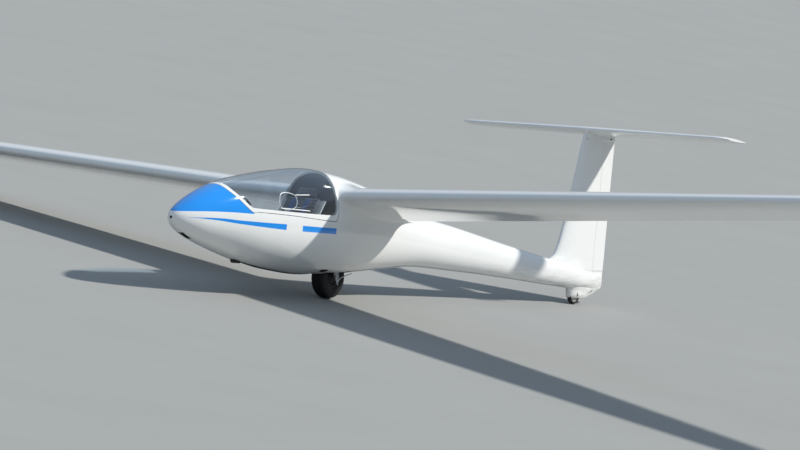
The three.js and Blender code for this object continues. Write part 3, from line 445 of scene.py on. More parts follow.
def skin_tree(skins):
    """A search tree over the skins' rings, with its points, their normals and its triangles."""
    points, normals, triangles = [], [], []
    for rings in skins:
        rings = np.asarray(rings, float)
        count, around = rings.shape[:2]
        start = len(points)
        points.extend(rings.reshape(-1, 3))
        normals.extend(grid_normals(rings).reshape(-1, 3))
        for i in range(count - 1):
            for j in range(around):
                k = (j + 1) % around
                a, b = start + i * around + j, start + i * around + k
                triangles += [(a, b, b + around), (a, b + around, a + around)]
    return BVHTree.FromPolygons([tuple(p) for p in points], triangles), points, normals, triangles


def shade(piece, sharp=40):
    """Shades a piece smooth where its faces meet at less than an angle."""
    piece.data.shade_smooth()
    piece.data.set_sharp_from_angle(angle=math.radians(sharp))
    return piece


def polish(piece, skins=(), sharp=32, reach=0.0006):
    """Shades a piece smooth, with the faces on its uncut skins shaded as those skins curve."""
    mesh = shade(piece, sharp).data
    if not skins:
        return piece
    tree, points, normals, triangles = skin_tree(skins)
    normals = np.asarray(normals)
    found = []
    for vertex in mesh.vertices:
        place, _, index, distance = tree.find_nearest(vertex.co)
        if place is None or distance > reach:
            found.append(None)
            continue
        corners = triangles[index]
        a, b, c = (Vector(points[i]) for i in corners)
        whole = (b - a).cross(c - a).length or 1.0
        shares = ((b - place).cross(c - place).length, (c - place).cross(a - place).length)
        weights = (shares[0] / whole, shares[1] / whole, max(0.0, 1 - (shares[0] + shares[1]) / whole))
        found.append(sum(normals[i] * w for i, w in zip(corners, weights)))
    corner_normals = [Vector(n.vector) for n in mesh.corner_normals]
    for face in mesh.polygons:
        ours = [found[mesh.loops[i].vertex_index] for i in face.loop_indices]
        if any(n is None for n in ours):
            continue
        middle = Vector(sum(ours))
        if middle.length < 1e-9 or middle.normalized().dot(face.normal) < 0.85:
            continue
        for i, n in zip(face.loop_indices, ours):
            corner_normals[i] = Vector(n).normalized()
    mesh.normals_split_custom_set([tuple(n) for n in corner_normals])
    return piece


def round_edges(piece, width, segments=2):
    """Adds a modifier that rounds a piece's edges."""
    edge = piece.modifiers.new("edge", "BEVEL")
    edge.width = width
    edge.segments = segments
    edge.limit_method = "ANGLE"
    edge.angle_limit = math.radians(35)


def soften(piece, width, segments=2):
    """Rounds a piece's edges and shades it smooth."""
    round_edges(piece, width, segments)
    return shade(settle(piece))


def smooth_outline(outline, steps=5, corner=0.9):
    """A side outline rounded by curves through its points, but for those above the closing height."""
    points = [Vector(p) for p in outline]
    count = len(points)
    rounded = []
    for i in range(count):
        before, here, after, beyond = (points[(i + k) % count] for k in (-1, 0, 1, 2))
        if max(here.y, after.y) > CLOSING_HEIGHT:
            rounded.append(tuple(here))
            continue
        enter = (after - before) * 0.5 if before.y < CLOSING_HEIGHT else after - here
        leave = (beyond - here) * 0.5 if beyond.y < CLOSING_HEIGHT else after - here
        length = (after - here).length
        enter = enter.normalized() * min(enter.length, length * corner)
        leave = leave.normalized() * min(leave.length, length * corner)
        for k in range(steps):
            first, out, last, back = curve_shares(k / steps)
            place = here * first + enter * out + after * last + leave * back
            rounded.append(tuple(place))
    return rounded


def inset_outline(outline, distance):
    """Moves each side of a closed outline inwards by a distance."""
    count = len(outline)
    area = sum(outline[i][0] * outline[(i + 1) % count][1] - outline[(i + 1) % count][0] * outline[i][1]
               for i in range(count))
    turn = math.copysign(1, area)

    def normal(a, b):
        length = math.hypot(b[0] - a[0], b[1] - a[1])
        return (-turn * (b[1] - a[1]) / length, turn * (b[0] - a[0]) / length)

    moved = []
    for i, point in enumerate(outline):
        n1, n2 = normal(outline[i - 1], point), normal(point, outline[(i + 1) % count])
        total = (n1[0] + n2[0], n1[1] + n2[1])
        scale = 2 * distance / (total[0] ** 2 + total[1] ** 2)
        moved.append((point[0] + total[0] * scale, point[1] + total[1] * scale))
    return moved


def section_points(thickness, camber, steps):
    """Section from the trailing edge over the top to the nose, then back below, on a chord of 1."""
    place = (1 - np.cos(np.linspace(0, math.pi, steps + 1))) / 2
    powers = np.array([np.sqrt(place), place, place**2, place**3, place**4])
    half = 5 * thickness * (np.array(THICKNESS_CURVE) @ powers)
    p = WING_CAMBER_PLACE
    line = np.where(
        place < p,
        camber / p**2 * (2 * p * place - place**2),
        camber / (1 - p) ** 2 * (1 - 2 * p + 2 * p * place - place**2),
    )
    upper = np.column_stack([place, line + half])[::-1]
    lower = np.column_stack([place, line - half])[1:]
    return np.vstack([upper, lower])


def chord_points(values, section):
    """Stations and heights of a section's points."""
    turn, chord = values["turn"], values["chord"]
    station = values["station"] + chord * (section[:, 0] * math.cos(turn) + section[:, 1] * math.sin(turn))
    height = values["height"] + chord * (section[:, 1] * math.cos(turn) - section[:, 0] * math.sin(turn))
    return station, height


def table_row(table, place):
    """Values of a table's columns at a place, straight between its rows."""
    places = [row[0] for row in table]
    return [float(np.interp(place, places, [row[k] for row in table])) for k in range(1, len(table[0]))]


def wing_at(y):
    sweep, chord, incidence, thickness = table_row(WING_SECTIONS, y)
    return {
        "station": WING_LEAD.station + sweep,
        "height": WING_LEAD.height + WING_DIHEDRAL * y,
        "chord": chord,
        "turn": math.radians(incidence),
        "thickness": thickness,
    }


def wing_ring(y, side):
    values = wing_at(y)
    station, height = chord_points(values, section_points(values["thickness"], WING_CAMBER, WING_STEPS))
    return np.column_stack([-station, np.full(len(station), side * y), height])


def fin_ring(height):
    lead, trail, half = fin_row(height)
    chord = trail - lead
    section = section_points(2 * half / chord, 0.0, WING_STEPS)
    return np.column_stack([-(lead + chord * section[:, 0]), chord * section[:, 1],
                            np.full(len(section), height)])


fin_heights = [row[0] for row in FIN_SECTIONS]
fin_curves = [curve_through(fin_heights, [row[k] for row in FIN_SECTIONS]) for k in (1, 2, 3)]


def fin_row(height):
    """Leading station, trailing station and half thickness of the fin at a height."""
    return [curve(height) for curve in fin_curves]


def tailplane_at(y):
    sweep, chord, thickness = table_row(TAILPLANE_SECTIONS, abs(y))
    return {
        "station": TAILPLANE_LEAD.station + sweep,
        "height": TAILPLANE_LEAD.height,
        "chord": chord,
        "turn": TAILPLANE_TURN,
        "thickness": thickness,
    }


def tailplane_ring(y):
    values = tailplane_at(y)
    station, height = chord_points(values, section_points(values["thickness"], 0.0, TAILPLANE_STEPS))
    return np.column_stack([-station, np.full(len(station), y), height])


def section_top(section, share):
    """Rise of a section's upper side at a share of its chord."""
    upper = section[: len(section) // 2 + 1]
    return np.interp(share, upper[::-1, 0], upper[::-1, 1])


def section_middle(values, camber, share):
    """Station, height and half thickness of a section at a share of its chord."""
    section = section_points(values["thickness"], camber, FINE_STEPS)
    top = section_top(section, share)
    low = np.interp(share, section[FINE_STEPS:, 0], section[FINE_STEPS:, 1])
    station, height = chord_points(values, np.array([[share, (top + low) / 2]]))
    return station[0], height[0], (top - low) / 2 * values["chord"] * HINGE_FILL


def span_point(side):
    """Turns a place aft of and above a hinge line into a level point."""

    def place(end, aft, up):
        turn = end["turn"]
        return (
            -(end["station"] + aft * math.cos(turn) + up * math.sin(turn)),
            side * end["y"],
            end["height"] + up * math.cos(turn) - aft * math.sin(turn),
        )

    return place


def fin_point(end, aft, across):
    return (-(end["station"] + aft), across, end["height"])


def control_space(ends, extra, to_point):
    """The space of a control surface: round at its hinge line and open to the rear."""
    reach, wide, steps = CONTROL_SPACE.reach, CONTROL_SPACE.spread, CONTROL_SPACE.arc_steps
    rings = []
    for end in ends:
        radius = end["radius"] + extra
        angles = [math.pi * (0.5 + i / steps) for i in range(steps + 1)]
        outline = [(0, wide)] + [(math.cos(a) * radius, math.sin(a) * radius) for a in angles]
        outline += [(0, -wide), (reach, -wide), (reach, wide)]
        rings.append([to_point(end, aft, up) for aft, up in outline])
    return loft(rings)


def end_pins(hinge, extra=0.0):
    """Pins at both ends of a hinge line."""
    first, last = Vector(hinge[0]), Vector(hinge[1])
    along = (last - first).normalized()
    pins = []
    for end, inwards in ((first, 1), (last, -1)):
        deep = end + along * inwards * (PIN.inside + extra)
        pins.append(bar(end - along * inwards * PIN.outside, deep, PIN.radius + extra))
    return pins


def aileron_ends(grow):
    inner = section_middle(wing_at(WING_BREAK_Y), WING_CAMBER, AILERON.hinge)
    outer = section_middle(wing_at(WING_OUTER_Y), WING_CAMBER, AILERON.hinge)
    ends = []
    for y in (AILERON.start - grow, AILERON.to + grow):
        t = (y - WING_BREAK_Y) / (WING_OUTER_Y - WING_BREAK_Y)
        station, height, radius = (a + (b - a) * t for a, b in zip(inner, outer))
        ends.append({"y": y, "station": station, "height": height, "radius": radius,
                     "turn": math.radians(AILERON.incidence)})
    return ends


def elevator_ends(grow):
    places = (0.0, TAILPLANE_SECTIONS[1][0])
    inner, outer = (section_middle(tailplane_at(y), 0.0, ELEVATOR.hinge) for y in places)
    station, height = (inner[0] + outer[0]) / 2, (inner[1] + outer[1]) / 2
    ends = []
    for y in (ELEVATOR.start - grow, ELEVATOR.to + grow):
        t = y / places[1]
        offset = abs(inner[1] + (outer[1] - inner[1]) * t - height)
        radius = inner[2] + (outer[2] - inner[2]) * t + offset
        ends.append({"y": y, "station": station, "height": height, "radius": radius, "turn": TAILPLANE_TURN})
    return ends


def rudder_ends(grow):
    ends = []
    for height in (RUDDER.low - grow, RUDDER.high + grow):
        t = (height - RUDDER.low) / (RUDDER.high - RUDDER.low)
        station = RUDDER.low_hinge + (RUDDER.high_hinge - RUDDER.low_hinge) * t
        lead, trail, half = table_row(FIN_SECTIONS, height)
        chord = trail - lead
        values = {"station": lead, "height": 0, "chord": chord, "turn": 0, "thickness": 2 * half / chord}
        radius = section_middle(values, 0.0, (station - lead) / chord)[2]
        ends.append({"height": height, "station": station, "radius": radius})
    return ends


def brake_frame(side):
    """The airbrake's own axes: x forward along the chord, y out along the span, z out of the skin."""

    def skin_point(y):
        values = wing_at(y)
        rise = section_top(section_points(values["thickness"], WING_CAMBER, FINE_STEPS), BRAKE.chord_place)
        station, height = chord_points(values, np.array([[BRAKE.chord_place, rise]]))
        return Vector((-station[0], side * y, height[0]))

    middle = (BRAKE.start + BRAKE.to) / 2
    out = (skin_point(BRAKE.to) - skin_point(BRAKE.start)).normalized()
    slope = wing_at(middle)["turn"] + math.radians(BRAKE.skin_slope)
    forward = Vector((math.cos(slope), 0, math.sin(slope)))
    up = (forward.cross(out) * side).normalized()
    forward = out.cross(up) * side
    turn = Matrix((forward, out, up)).transposed().to_4x4()
    return Matrix.Translation(skin_point(middle)) @ turn


def brake_box(matrix, xs, ys, zs):
    corners = [(x, y, z) for x in xs for y in ys for z in zs]
    faces = [(0, 1, 3, 2), (4, 6, 7, 5), (0, 4, 5, 1), (2, 3, 7, 6), (0, 2, 6, 4), (1, 5, 7, 3)]
    return solid([matrix @ Vector(corner) for corner in corners], faces)


# Node helpers for the materials
def put(tree, kind, values=None, **settings):
    """Adds a node; values gives its inputs numbers, colours or other nodes' outputs."""
    made = tree.nodes.new(kind)
    for key, value in settings.items():
        setattr(made, key, value)
    for key, value in (values or {}).items():
        if isinstance(value, bpy.types.NodeSocket):
            tree.links.new(value, made.inputs[key])
        else:
            made.inputs[key].default_value = value
    return made


def calc(tree, operation, *values, clamp=False):
    made = put(tree, "ShaderNodeMath", dict(enumerate(values)), operation=operation, use_clamp=clamp)
    return made.outputs[0]


def times(tree, first, second, clamp=False):
    return calc(tree, "MULTIPLY", first, second, clamp=clamp)


def fit(tree, value, scale, start):
    return calc(tree, "MULTIPLY_ADD", value, scale, start)


def mixed(tree, share, first, second, blend="MIX"):
    """First colour changed towards the second by a share."""
    made = put(tree, "ShaderNodeMix", {0: share, 6: first, 7: second}, data_type="RGBA", blend_type=blend)
    return made.outputs[2]


def remap(tree, value, low, high):
    """0 at a low value and 1 at a high one."""
    return put(tree, "ShaderNodeMapRange", {0: value, 1: low, 2: high}).outputs[0]


def step_at(tree, value, edge, width):
    """0 below an edge and 1 above it, with a soft step of a width."""
    return remap(tree, value, calc(tree, "SUBTRACT", edge, width / 2), calc(tree, "ADD", edge, width / 2))


def toned(tree, paint, tone):
    """A colour made darker or paler by a tone."""
    grey = put(tree, "ShaderNodeCombineColor", {0: tone, 1: tone, 2: tone}).outputs[0]
    return mixed(tree, 1.0, paint, grey, "MULTIPLY")


def noise(tree, vector, scale, detail=3.0, roughness=0.5):
    values = {"Vector": vector, "Scale": scale, "Detail": detail, "Roughness": roughness}
    return put(tree, "ShaderNodeTexNoise", values).outputs[0]


def scaled(tree, vector, scale):
    return put(tree, "ShaderNodeVectorMath", {0: vector, 1: scale}, operation="MULTIPLY").outputs[0]


def group_of(name, inputs, outputs):
    """A new node group. A triple as a default makes a vector input; only Place comes out as a vector."""
    tree = bpy.data.node_groups.new(name, "ShaderNodeTree")
    for label, default in inputs.items():
        kind = "NodeSocketVector" if isinstance(default, tuple) else "NodeSocketFloat"
        tree.interface.new_socket(name=label, in_out="INPUT", socket_type=kind).default_value = default
    for label in outputs:
        kind = "NodeSocketVector" if label == "Place" else "NodeSocketFloat"
        tree.interface.new_socket(name=label, in_out="OUTPUT", socket_type=kind)
    return tree, tree.nodes.new("NodeGroupInput").outputs, tree.nodes.new("NodeGroupOutput").inputs


def use(tree, group, **values):
    """Places a node group in a material; a name's underscores stand for spaces."""
    made = tree.nodes.new("ShaderNodeGroup")
    made.node_tree = group
    for key, value in values.items():
        key = key.replace("_", " ")
        if isinstance(value, bpy.types.NodeSocket):
            tree.links.new(value, made.inputs[key])
        else:
            made.inputs[key].default_value = value
    return made.outputs


def glider_place():
    """Where a surface point lies on the glider, in the level frame."""
    tree, _, out = group_of("glider_place", {}, ["Place", "Station", "Height"])
    back = LEVEL.inverted()
    here = put(tree, "ShaderNodeTexCoord").outputs["Object"]
    values = {"Vector": here, "Location": back.to_translation(), "Rotation": back.to_euler()}
    place = put(tree, "ShaderNodeMapping", values).outputs[0]
    parts = put(tree, "ShaderNodeSeparateXYZ", {0: place}).outputs
    tree.links.new(place, out["Place"])
    tree.links.new(times(tree, parts[0], -1.0), out["Station"])
    tree.links.new(parts[2], out["Height"])
    return tree


def surface_mottle():
    """Cloudy changes of tone, from 1 - Amount to 1."""
    inputs = {"Place": (0, 0, 0), "Scale": 4.0, "Amount": 0.1}
    tree, given, out = group_of("surface_mottle", inputs, ["Tone", "Cloud"])
    cloud = remap(tree, noise(tree, given["Place"], given["Scale"], 5.0, 0.6), 0.3, 0.7)
    tone = calc(tree, "SUBTRACT", 1.0, times(tree, cloud, given["Amount"]))
    tree.links.new(tone, out["Tone"])
    tree.links.new(cloud, out["Cloud"])
    return tree


def settled_dust():
    """Dust that lies on what faces up and gathers in patches."""
    inputs = {"Place": (0, 0, 0), "Scale": 12.0, "Amount": 0.3}
    tree, given, out = group_of("settled_dust", inputs, ["Mask"])
    normal = put(tree, "ShaderNodeNewGeometry").outputs["Normal"]
    facing = remap(tree, put(tree, "ShaderNodeSeparateXYZ", {0: normal}).outputs[2], -0.4, 1.0)
    patches = remap(tree, noise(tree, given["Place"], given["Scale"], 6.0, 0.65), 0.35, 0.75)
    lying = times(tree, facing, patches)
    tree.links.new(times(tree, lying, given["Amount"], clamp=True), out["Mask"])
    return tree


def worn_edges():
    """Rubbed places along a piece's outer edges."""
    inputs = {"Place": (0, 0, 0), "Scale": 60.0, "Amount": 0.6}
    tree, given, out = group_of("worn_edges", inputs, ["Mask"])
    bend = put(tree, "ShaderNodeNewGeometry").outputs["Pointiness"]
    edge = remap(tree, bend, 0.52, 0.62)
    broken = remap(tree, noise(tree, given["Place"], given["Scale"], 4.0, 0.7), 0.4, 0.62)
    rubbed = times(tree, edge, broken)
    tree.links.new(times(tree, rubbed, given["Amount"], clamp=True), out["Mask"])
    return tree


def fine_grain():
    """The small relief of a moulded, sprayed or cast surface."""
    inputs = {"Place": (0, 0, 0), "Scale": 800.0, "Stretch": (1, 1, 1)}
    tree, given, out = group_of("fine_grain", inputs, ["Relief"])
    vector = scaled(tree, given["Place"], given["Stretch"])
    tree.links.new(noise(tree, vector, given["Scale"], 4.0, 0.6), out["Relief"])
    return tree


def cloth_weave():
    """Crossing threads, as a height and a painted shade that is darker where the threads dip."""
    inputs = {"Place": (0, 0, 0), "Threads": 500.0}
    tree, given, out = group_of("cloth_weave", inputs, ["Relief", "Shade"])
    parts = put(tree, "ShaderNodeSeparateXYZ", {0: given["Place"]}).outputs
    across = times(tree, parts[1], given["Threads"])
    slope = times(tree, calc(tree, "ADD", parts[0], parts[2]), given["Threads"])
    warp = calc(tree, "SINE", times(tree, across, 2 * math.pi))
    weft = calc(tree, "SINE", times(tree, slope, 2 * math.pi))
    over = times(tree, warp, weft)
    loose = noise(tree, given["Place"], 900.0, 2.0)
    relief = calc(tree, "ADD", times(tree, over, 0.5), loose)
    tree.links.new(relief, out["Relief"])
    tree.links.new(remap(tree, relief, 0.0, 1.0), out["Shade"])
    return tree


PLACE = glider_place()
MOTTLE = surface_mottle()
DUST = settled_dust()
WEAR = worn_edges()
GRAIN = fine_grain()
WEAVE = cloth_weave()


def material(name, **values):
    """A new material's node tree and its shader, with plain values set on the shader's own sockets."""
    made = bpy.data.materials.new(name)
    made.use_nodes = True
    shader = made.node_tree.nodes["Principled BSDF"]
    for key, value in values.items():
        shader.inputs[key.replace("_", " ")].default_value = value
    return made, made.node_tree, shader.inputs


def colour(red, green, blue):
    return (red, green, blue, 1.0)


def toned_colour(base, scale, extra=0.0):
    """A darker or paler shade of a colour's three parts."""
    return colour(*(min(1.0, value * scale + extra) for value in base))


def surface(tree, inputs, base, rough, relief, depth):
    """Drives a shader's colour, roughness and bump."""
    tree.links.new(base, inputs["Base Color"])
    tree.links.new(rough, inputs["Roughness"])
    made = put(tree, "ShaderNodeBump", {"Height": relief, "Distance": depth})
    tree.links.new(made.outputs[0], inputs["Normal"])


# Livery: a bright blue nose top and a blue stripe along each side
GELCOAT_WHITE = colour(0.86, 0.87, 0.86)
GELCOAT_BLUE = colour(0.010, 0.285, 0.86)
NOSE_BLUE = Sizes(peak_height=0.6965, peak_station=0.50, droop=0.065, end=0.800)
STRIPE = [
    # station, low height, high height
    (0.080, 0.6370, 0.6372),
    (0.165, 0.6350, 0.6388),
    (0.360, 0.6265, 0.6432),
    (0.640, 0.6040, 0.6335),
    (1.000, 0.5820, 0.6235),
    (1.215, 0.5710, 0.6190),
    (1.440, 0.5640, 0.6125),
    (1.690, 0.5580, 0.6055),
    (1.930, 0.5520, 0.6010),
]
STRIPE_GAP = (1.220, 1.440)
PAINT_EDGE = 0.0012

# Colours of dust, glass and flecks, and of the gelcoat's darker streaks towards the bottom
# The gelcoat darkens to this olive-brown in streaks towards the bottom, from the first height down to the
# second
LOW_STREAK_COLOUR = colour(0.30, 0.26, 0.19)
LOW_STREAK_HEIGHTS = (0.36, 0.16)
ROAD_DUST = colour(0.17, 0.15, 0.12)
METAL_DUST = colour(0.16, 0.13, 0.10)
TRIM_DUST = colour(0.33, 0.30, 0.26)
GLASS_TINT = colour(0.90, 0.945, 0.985)
GLASS_SHADOW = colour(0.86, 0.91, 0.95)
RUBBER_TONES = (colour(0.008, 0.008, 0.009), colour(0.017, 0.016, 0.016))
LINING_TONES = (colour(0.46, 0.47, 0.46), colour(0.40, 0.41, 0.405))
FLECK_TONES = (colour(0.16, 0.17, 0.18), colour(0.72, 0.72, 0.70))


def table_curve(tree, value, rows, column):
    """A table's column as a curve node, read at a value between its first and last row."""
    xs = [row[0] for row in rows]
    ys = [row[column] for row in rows]
    span, low, high = xs[-1] - xs[0], min(ys), max(ys)
    share = remap(tree, value, xs[0], xs[-1])
    made = put(tree, "ShaderNodeFloatCurve", {"Value": share})
    points = made.mapping.curves[0].points
    while len(points) < len(rows):
        points.new(0.5, 0.5)
    for point, x, y in zip(points, xs, ys):
        point.location = ((x - xs[0]) / span, (y - low) / (high - low))
        point.handle_type = "AUTO_CLAMPED"
    made.mapping.update()
    return fit(tree, made.outputs[0], high - low, low)


def livery_mask(tree, station, height):
    """1 where the gelcoat is blue."""
    away = calc(tree, "SUBTRACT", station, NOSE_BLUE.peak_station)
    square = times(tree, away, away)
    edge = fit(tree, square, -NOSE_BLUE.droop, NOSE_BLUE.peak_height)
    ahead = step_at(tree, times(tree, station, -1.0), -NOSE_BLUE.end, PAINT_EDGE)
    nose = times(tree, step_at(tree, height, edge, PAINT_EDGE), ahead)
    above = step_at(tree, height, table_curve(tree, station, STRIPE, 1), PAINT_EDGE)
    over = step_at(tree, height, table_curve(tree, station, STRIPE, 2), PAINT_EDGE)
    stripe = calc(tree, "SUBTRACT", above, over, clamp=True)
    starts = step_at(tree, station, STRIPE[0][0], PAINT_EDGE)
    pauses = step_at(tree, station, STRIPE_GAP[0], PAINT_EDGE)
    resumes = step_at(tree, station, STRIPE_GAP[1], PAINT_EDGE)
    ends = step_at(tree, station, STRIPE[-1][0], PAINT_EDGE)
    along = calc(tree, "ADD", calc(tree, "SUBTRACT", starts, pauses), calc(tree, "SUBTRACT", resumes, ends))
    return calc(tree, "MAXIMUM", nose, times(tree, stripe, along))


def gelcoat(name, livery=False, darkening=0.0):
    """Polished gelcoat over glass fibre, with its faint waviness, dust film and olive-brown streaks that
    darken it towards the bottom.
    """
    made, tree, inputs = material(name, IOR=1.5, Coat_Weight=0.35, Coat_Roughness=0.04)
    place = use(tree, PLACE)
    tone = use(tree, MOTTLE, Place=place["Place"], Scale=1.7, Amount=0.035)
    specks = use(tree, MOTTLE, Place=place["Place"], Scale=40.0, Amount=0.02)
    paint = GELCOAT_WHITE
    if livery:
        blue = livery_mask(tree, place["Station"], place["Height"])
        paint = mixed(tree, blue, GELCOAT_WHITE, GELCOAT_BLUE)
    paint = toned(tree, paint, times(tree, tone["Tone"], specks["Tone"]))
    # Olive-brown streaks that darken the gelcoat towards the bottom
    if darkening:
        low = remap(tree, place["Height"], *LOW_STREAK_HEIGHTS)
        streak = noise(tree, scaled(tree, place["Place"], (1.5, 14.0, 9.0)), 3.0, 6.0, 0.65)
        patch = remap(tree, streak, 0.42, 0.78)
        streaked = times(tree, times(tree, low, patch), darkening, clamp=True)
        paint = mixed(tree, streaked, paint, LOW_STREAK_COLOUR)
    wave = noise(tree, place["Place"], 2.6, 2.0)
    peel = use(tree, GRAIN, Place=place["Place"], Scale=260.0)["Relief"]
    relief = fit(tree, peel, 0.012, wave)
    surface(tree, inputs, paint, fit(tree, tone["Cloud"], 0.04, 0.05), relief, 0.0012)
    return made


def acrylic():
    """Clear blown acrylic with a cool tint; lamps shine through it."""
    made, tree, inputs = material("canopy_acrylic", Roughness=0.02, IOR=1.49, Transmission_Weight=1.0)
    tint = use(tree, MOTTLE, Place=use(tree, PLACE)["Place"], Scale=2.0, Amount=0.03)["Tone"]
    tree.links.new(toned(tree, GLASS_TINT, tint), inputs["Base Color"])
    clear = put(tree, "ShaderNodeBsdfTransparent", {0: GLASS_SHADOW})
    is_shadow = put(tree, "ShaderNodeLightPath").outputs["Is Shadow Ray"]
    output = tree.nodes["Material Output"]
    shader = tree.nodes["Principled BSDF"]
    mix = put(tree, "ShaderNodeMixShader", {0: is_shadow, 1: shader.outputs[0], 2: clear.outputs[0]})
    tree.links.new(mix.outputs[0], output.inputs[0])
    return made


def rubber():
    """Dull black rubber with grey road dust."""
    made, tree, inputs = material("tyre_rubber", IOR=1.45)
    place = use(tree, PLACE)["Place"]
    dust = use(tree, DUST, Place=place, Scale=22.0, Amount=0.16)["Mask"]
    scuffs = use(tree, MOTTLE, Place=place, Scale=55.0, Amount=0.5)
    base = mixed(tree, scuffs["Cloud"], *RUBBER_TONES)
    relief = use(tree, GRAIN, Place=place, Scale=900.0)["Relief"]
    surface(tree, inputs, mixed(tree, dust, base, ROAD_DUST),
            fit(tree, scuffs["Cloud"], 0.18, 0.68), relief, 0.0004)
    return made


def metal(name, bright, rough, stretch=(1, 1, 1), darkening=0.25):
    """Machined or cast metal with fine scratches and dull patches."""
    made, tree, inputs = material(name, Metallic=0.92)
    place = use(tree, PLACE)["Place"]
    patches = use(tree, MOTTLE, Place=place, Scale=30.0, Amount=0.2)
    wear = use(tree, WEAR, Place=place, Amount=0.7)["Mask"]
    dust = use(tree, DUST, Place=place, Scale=35.0, Amount=darkening)["Mask"]
    base = mixed(tree, patches["Cloud"], colour(*bright), toned_colour(bright, 0.72))
    base = mixed(tree, wear, base, toned_colour(bright, 1.35))
    scratches = use(tree, GRAIN, Place=place, Scale=400.0, Stretch=stretch)["Relief"]
    patchy = fit(tree, patches["Cloud"], 0.16, rough)
    surface(tree, inputs, mixed(tree, dust, base, METAL_DUST), fit(tree, dust, 0.4, patchy),
            scratches, 0.0003)
    return made


def trim(name, base, rough=0.55, grain=700.0, depth=0.0005, worn=None):
    """Moulded plastic or sprayed paint with a fine grain and rubbed edges."""
    made, tree, inputs = material(name, IOR=1.46)
    place = use(tree, PLACE)["Place"]
    patches = use(tree, MOTTLE, Place=place, Scale=24.0, Amount=0.12)
    wear = use(tree, WEAR, Place=place, Amount=0.35)["Mask"]
    dust = use(tree, DUST, Place=place, Scale=18.0, Amount=0.05)["Mask"]
    tone = mixed(tree, patches["Cloud"], colour(*base), toned_colour(base, 0.88))
    tone = mixed(tree, wear, tone, colour(*worn) if worn else toned_colour(base, 1.5, 0.03))
    surface(tree, inputs, mixed(tree, dust, tone, TRIM_DUST),
            fit(tree, patches["Cloud"], 0.14, rough),
            use(tree, GRAIN, Place=place, Scale=grain)["Relief"], depth)
    return made


def speckled():
    """Light grey sprayed lining with darker and paler flecks."""
    made, tree, inputs = material("cockpit_lining", IOR=1.45)
    place = use(tree, PLACE)["Place"]
    cells = put(tree, "ShaderNodeTexVoronoi", {"Vector": place, "Scale": 230.0, "Randomness": 1.0})
    fleck = remap(tree, cells.outputs["Distance"], 0.16, 0.10)
    pick = put(tree, "ShaderNodeSeparateColor", {0: cells.outputs["Color"]}).outputs[0]
    fleck_tone = mixed(tree, pick, *FLECK_TONES)
    tone = use(tree, MOTTLE, Place=place, Scale=6.0, Amount=0.12)
    base = mixed(tree, tone["Cloud"], *LINING_TONES)
    relief = use(tree, GRAIN, Place=place, Scale=420.0)["Relief"]
    surface(tree, inputs, mixed(tree, fleck, base, fleck_tone),
            fit(tree, tone["Cloud"], 0.1, 0.62),
            fit(tree, fleck, 0.6, relief), 0.0006)
    return made


def cloth(name, base, threads, sheen=0.25, rough=0.9):
    """Woven cloth with its thread relief and a soft sheen."""
    made, tree, inputs = material(name, Sheen_Weight=sheen, Sheen_Roughness=0.5, IOR=1.4)
    place = use(tree, PLACE)["Place"]
    weave = use(tree, WEAVE, Place=place, Threads=threads)
    faded = use(tree, MOTTLE, Place=place, Scale=9.0, Amount=0.2)
    # The weave's low places are painted darker as shade.
    tone = mixed(tree, weave["Shade"], toned_colour(base, 0.55), colour(*base))
    tone = mixed(tree, times(tree, faded["Cloud"], 0.35), tone,
                 toned_colour(base, 1.5, 0.02))
    surface(tree, inputs, tone, fit(tree, weave["Shade"], 0.08, rough - 0.04),
            weave["Relief"], 0.0008)
    return made


LIVERY = gelcoat("gelcoat_livery", livery=True, darkening=0.35)
GELCOAT = gelcoat("gelcoat_plain")
GELCOAT_BELLY = gelcoat("gelcoat_belly", darkening=0.6)
ACRYLIC = acrylic()
RUBBER = rubber()
ALLOY = metal("alloy_cast", (0.62, 0.63, 0.64), 0.34)
STEEL = metal("steel_plate", (0.33, 0.34, 0.35), 0.42, darkening=0.4)
BRIGHT_STEEL = metal("steel_bright", (0.56, 0.56, 0.57), 0.24, stretch=(1, 6, 1), darkening=0.1)
BLACK = trim("black_trim", (0.022, 0.022, 0.024))
# Near black: painted shade inside openings, wheel wells and recesses, and the colour of the dial faces and
# the nose hook's case
HOLE_SHADE_AND_BLACK = trim("dark_recess", (0.010, 0.010, 0.011), rough=0.85)
LINING = speckled()
# Dark blue-grey: painted shade on the lining at the back of the cockpit
REAR_LINING_SHADE = trim("rear_lining", (0.058, 0.068, 0.088), rough=0.8)
# Near black: painted shade over the main wheel's rim, with paler rubbed edges
RIM_SHADE_PAINT = trim("rim_paint", (0.040, 0.041, 0.043), rough=0.42, worn=(0.20, 0.20, 0.21))
NYLON = trim("nylon_hub", (0.60, 0.60, 0.57), rough=0.5)
WHITE_PLASTIC = trim("white_plastic", (0.74, 0.75, 0.74), rough=0.35, depth=0.0001)
RED_PLASTIC = trim("red_plastic", (0.55, 0.018, 0.014), rough=0.35, depth=0.0001)
BLUE_PLASTIC = trim("blue_plastic", (0.015, 0.10, 0.42), rough=0.38, depth=0.0001)
GAITER = trim("gaiter_leather", (0.030, 0.029, 0.028), rough=0.7, grain=380.0, depth=0.0010)
# Pale blue-grey: the painted sheen of the vent window's acrylic edge
ACRYLIC_EDGE_SHEEN = trim("acrylic_edge", (0.50, 0.56, 0.60), rough=0.2, depth=0.0001)
SEAT_CLOTH = cloth("seat_cloth", (0.055, 0.066, 0.085), 420.0)
WEBBING = cloth("harness_webbing", (0.035, 0.085, 0.23), 640.0, sheen=0.1)


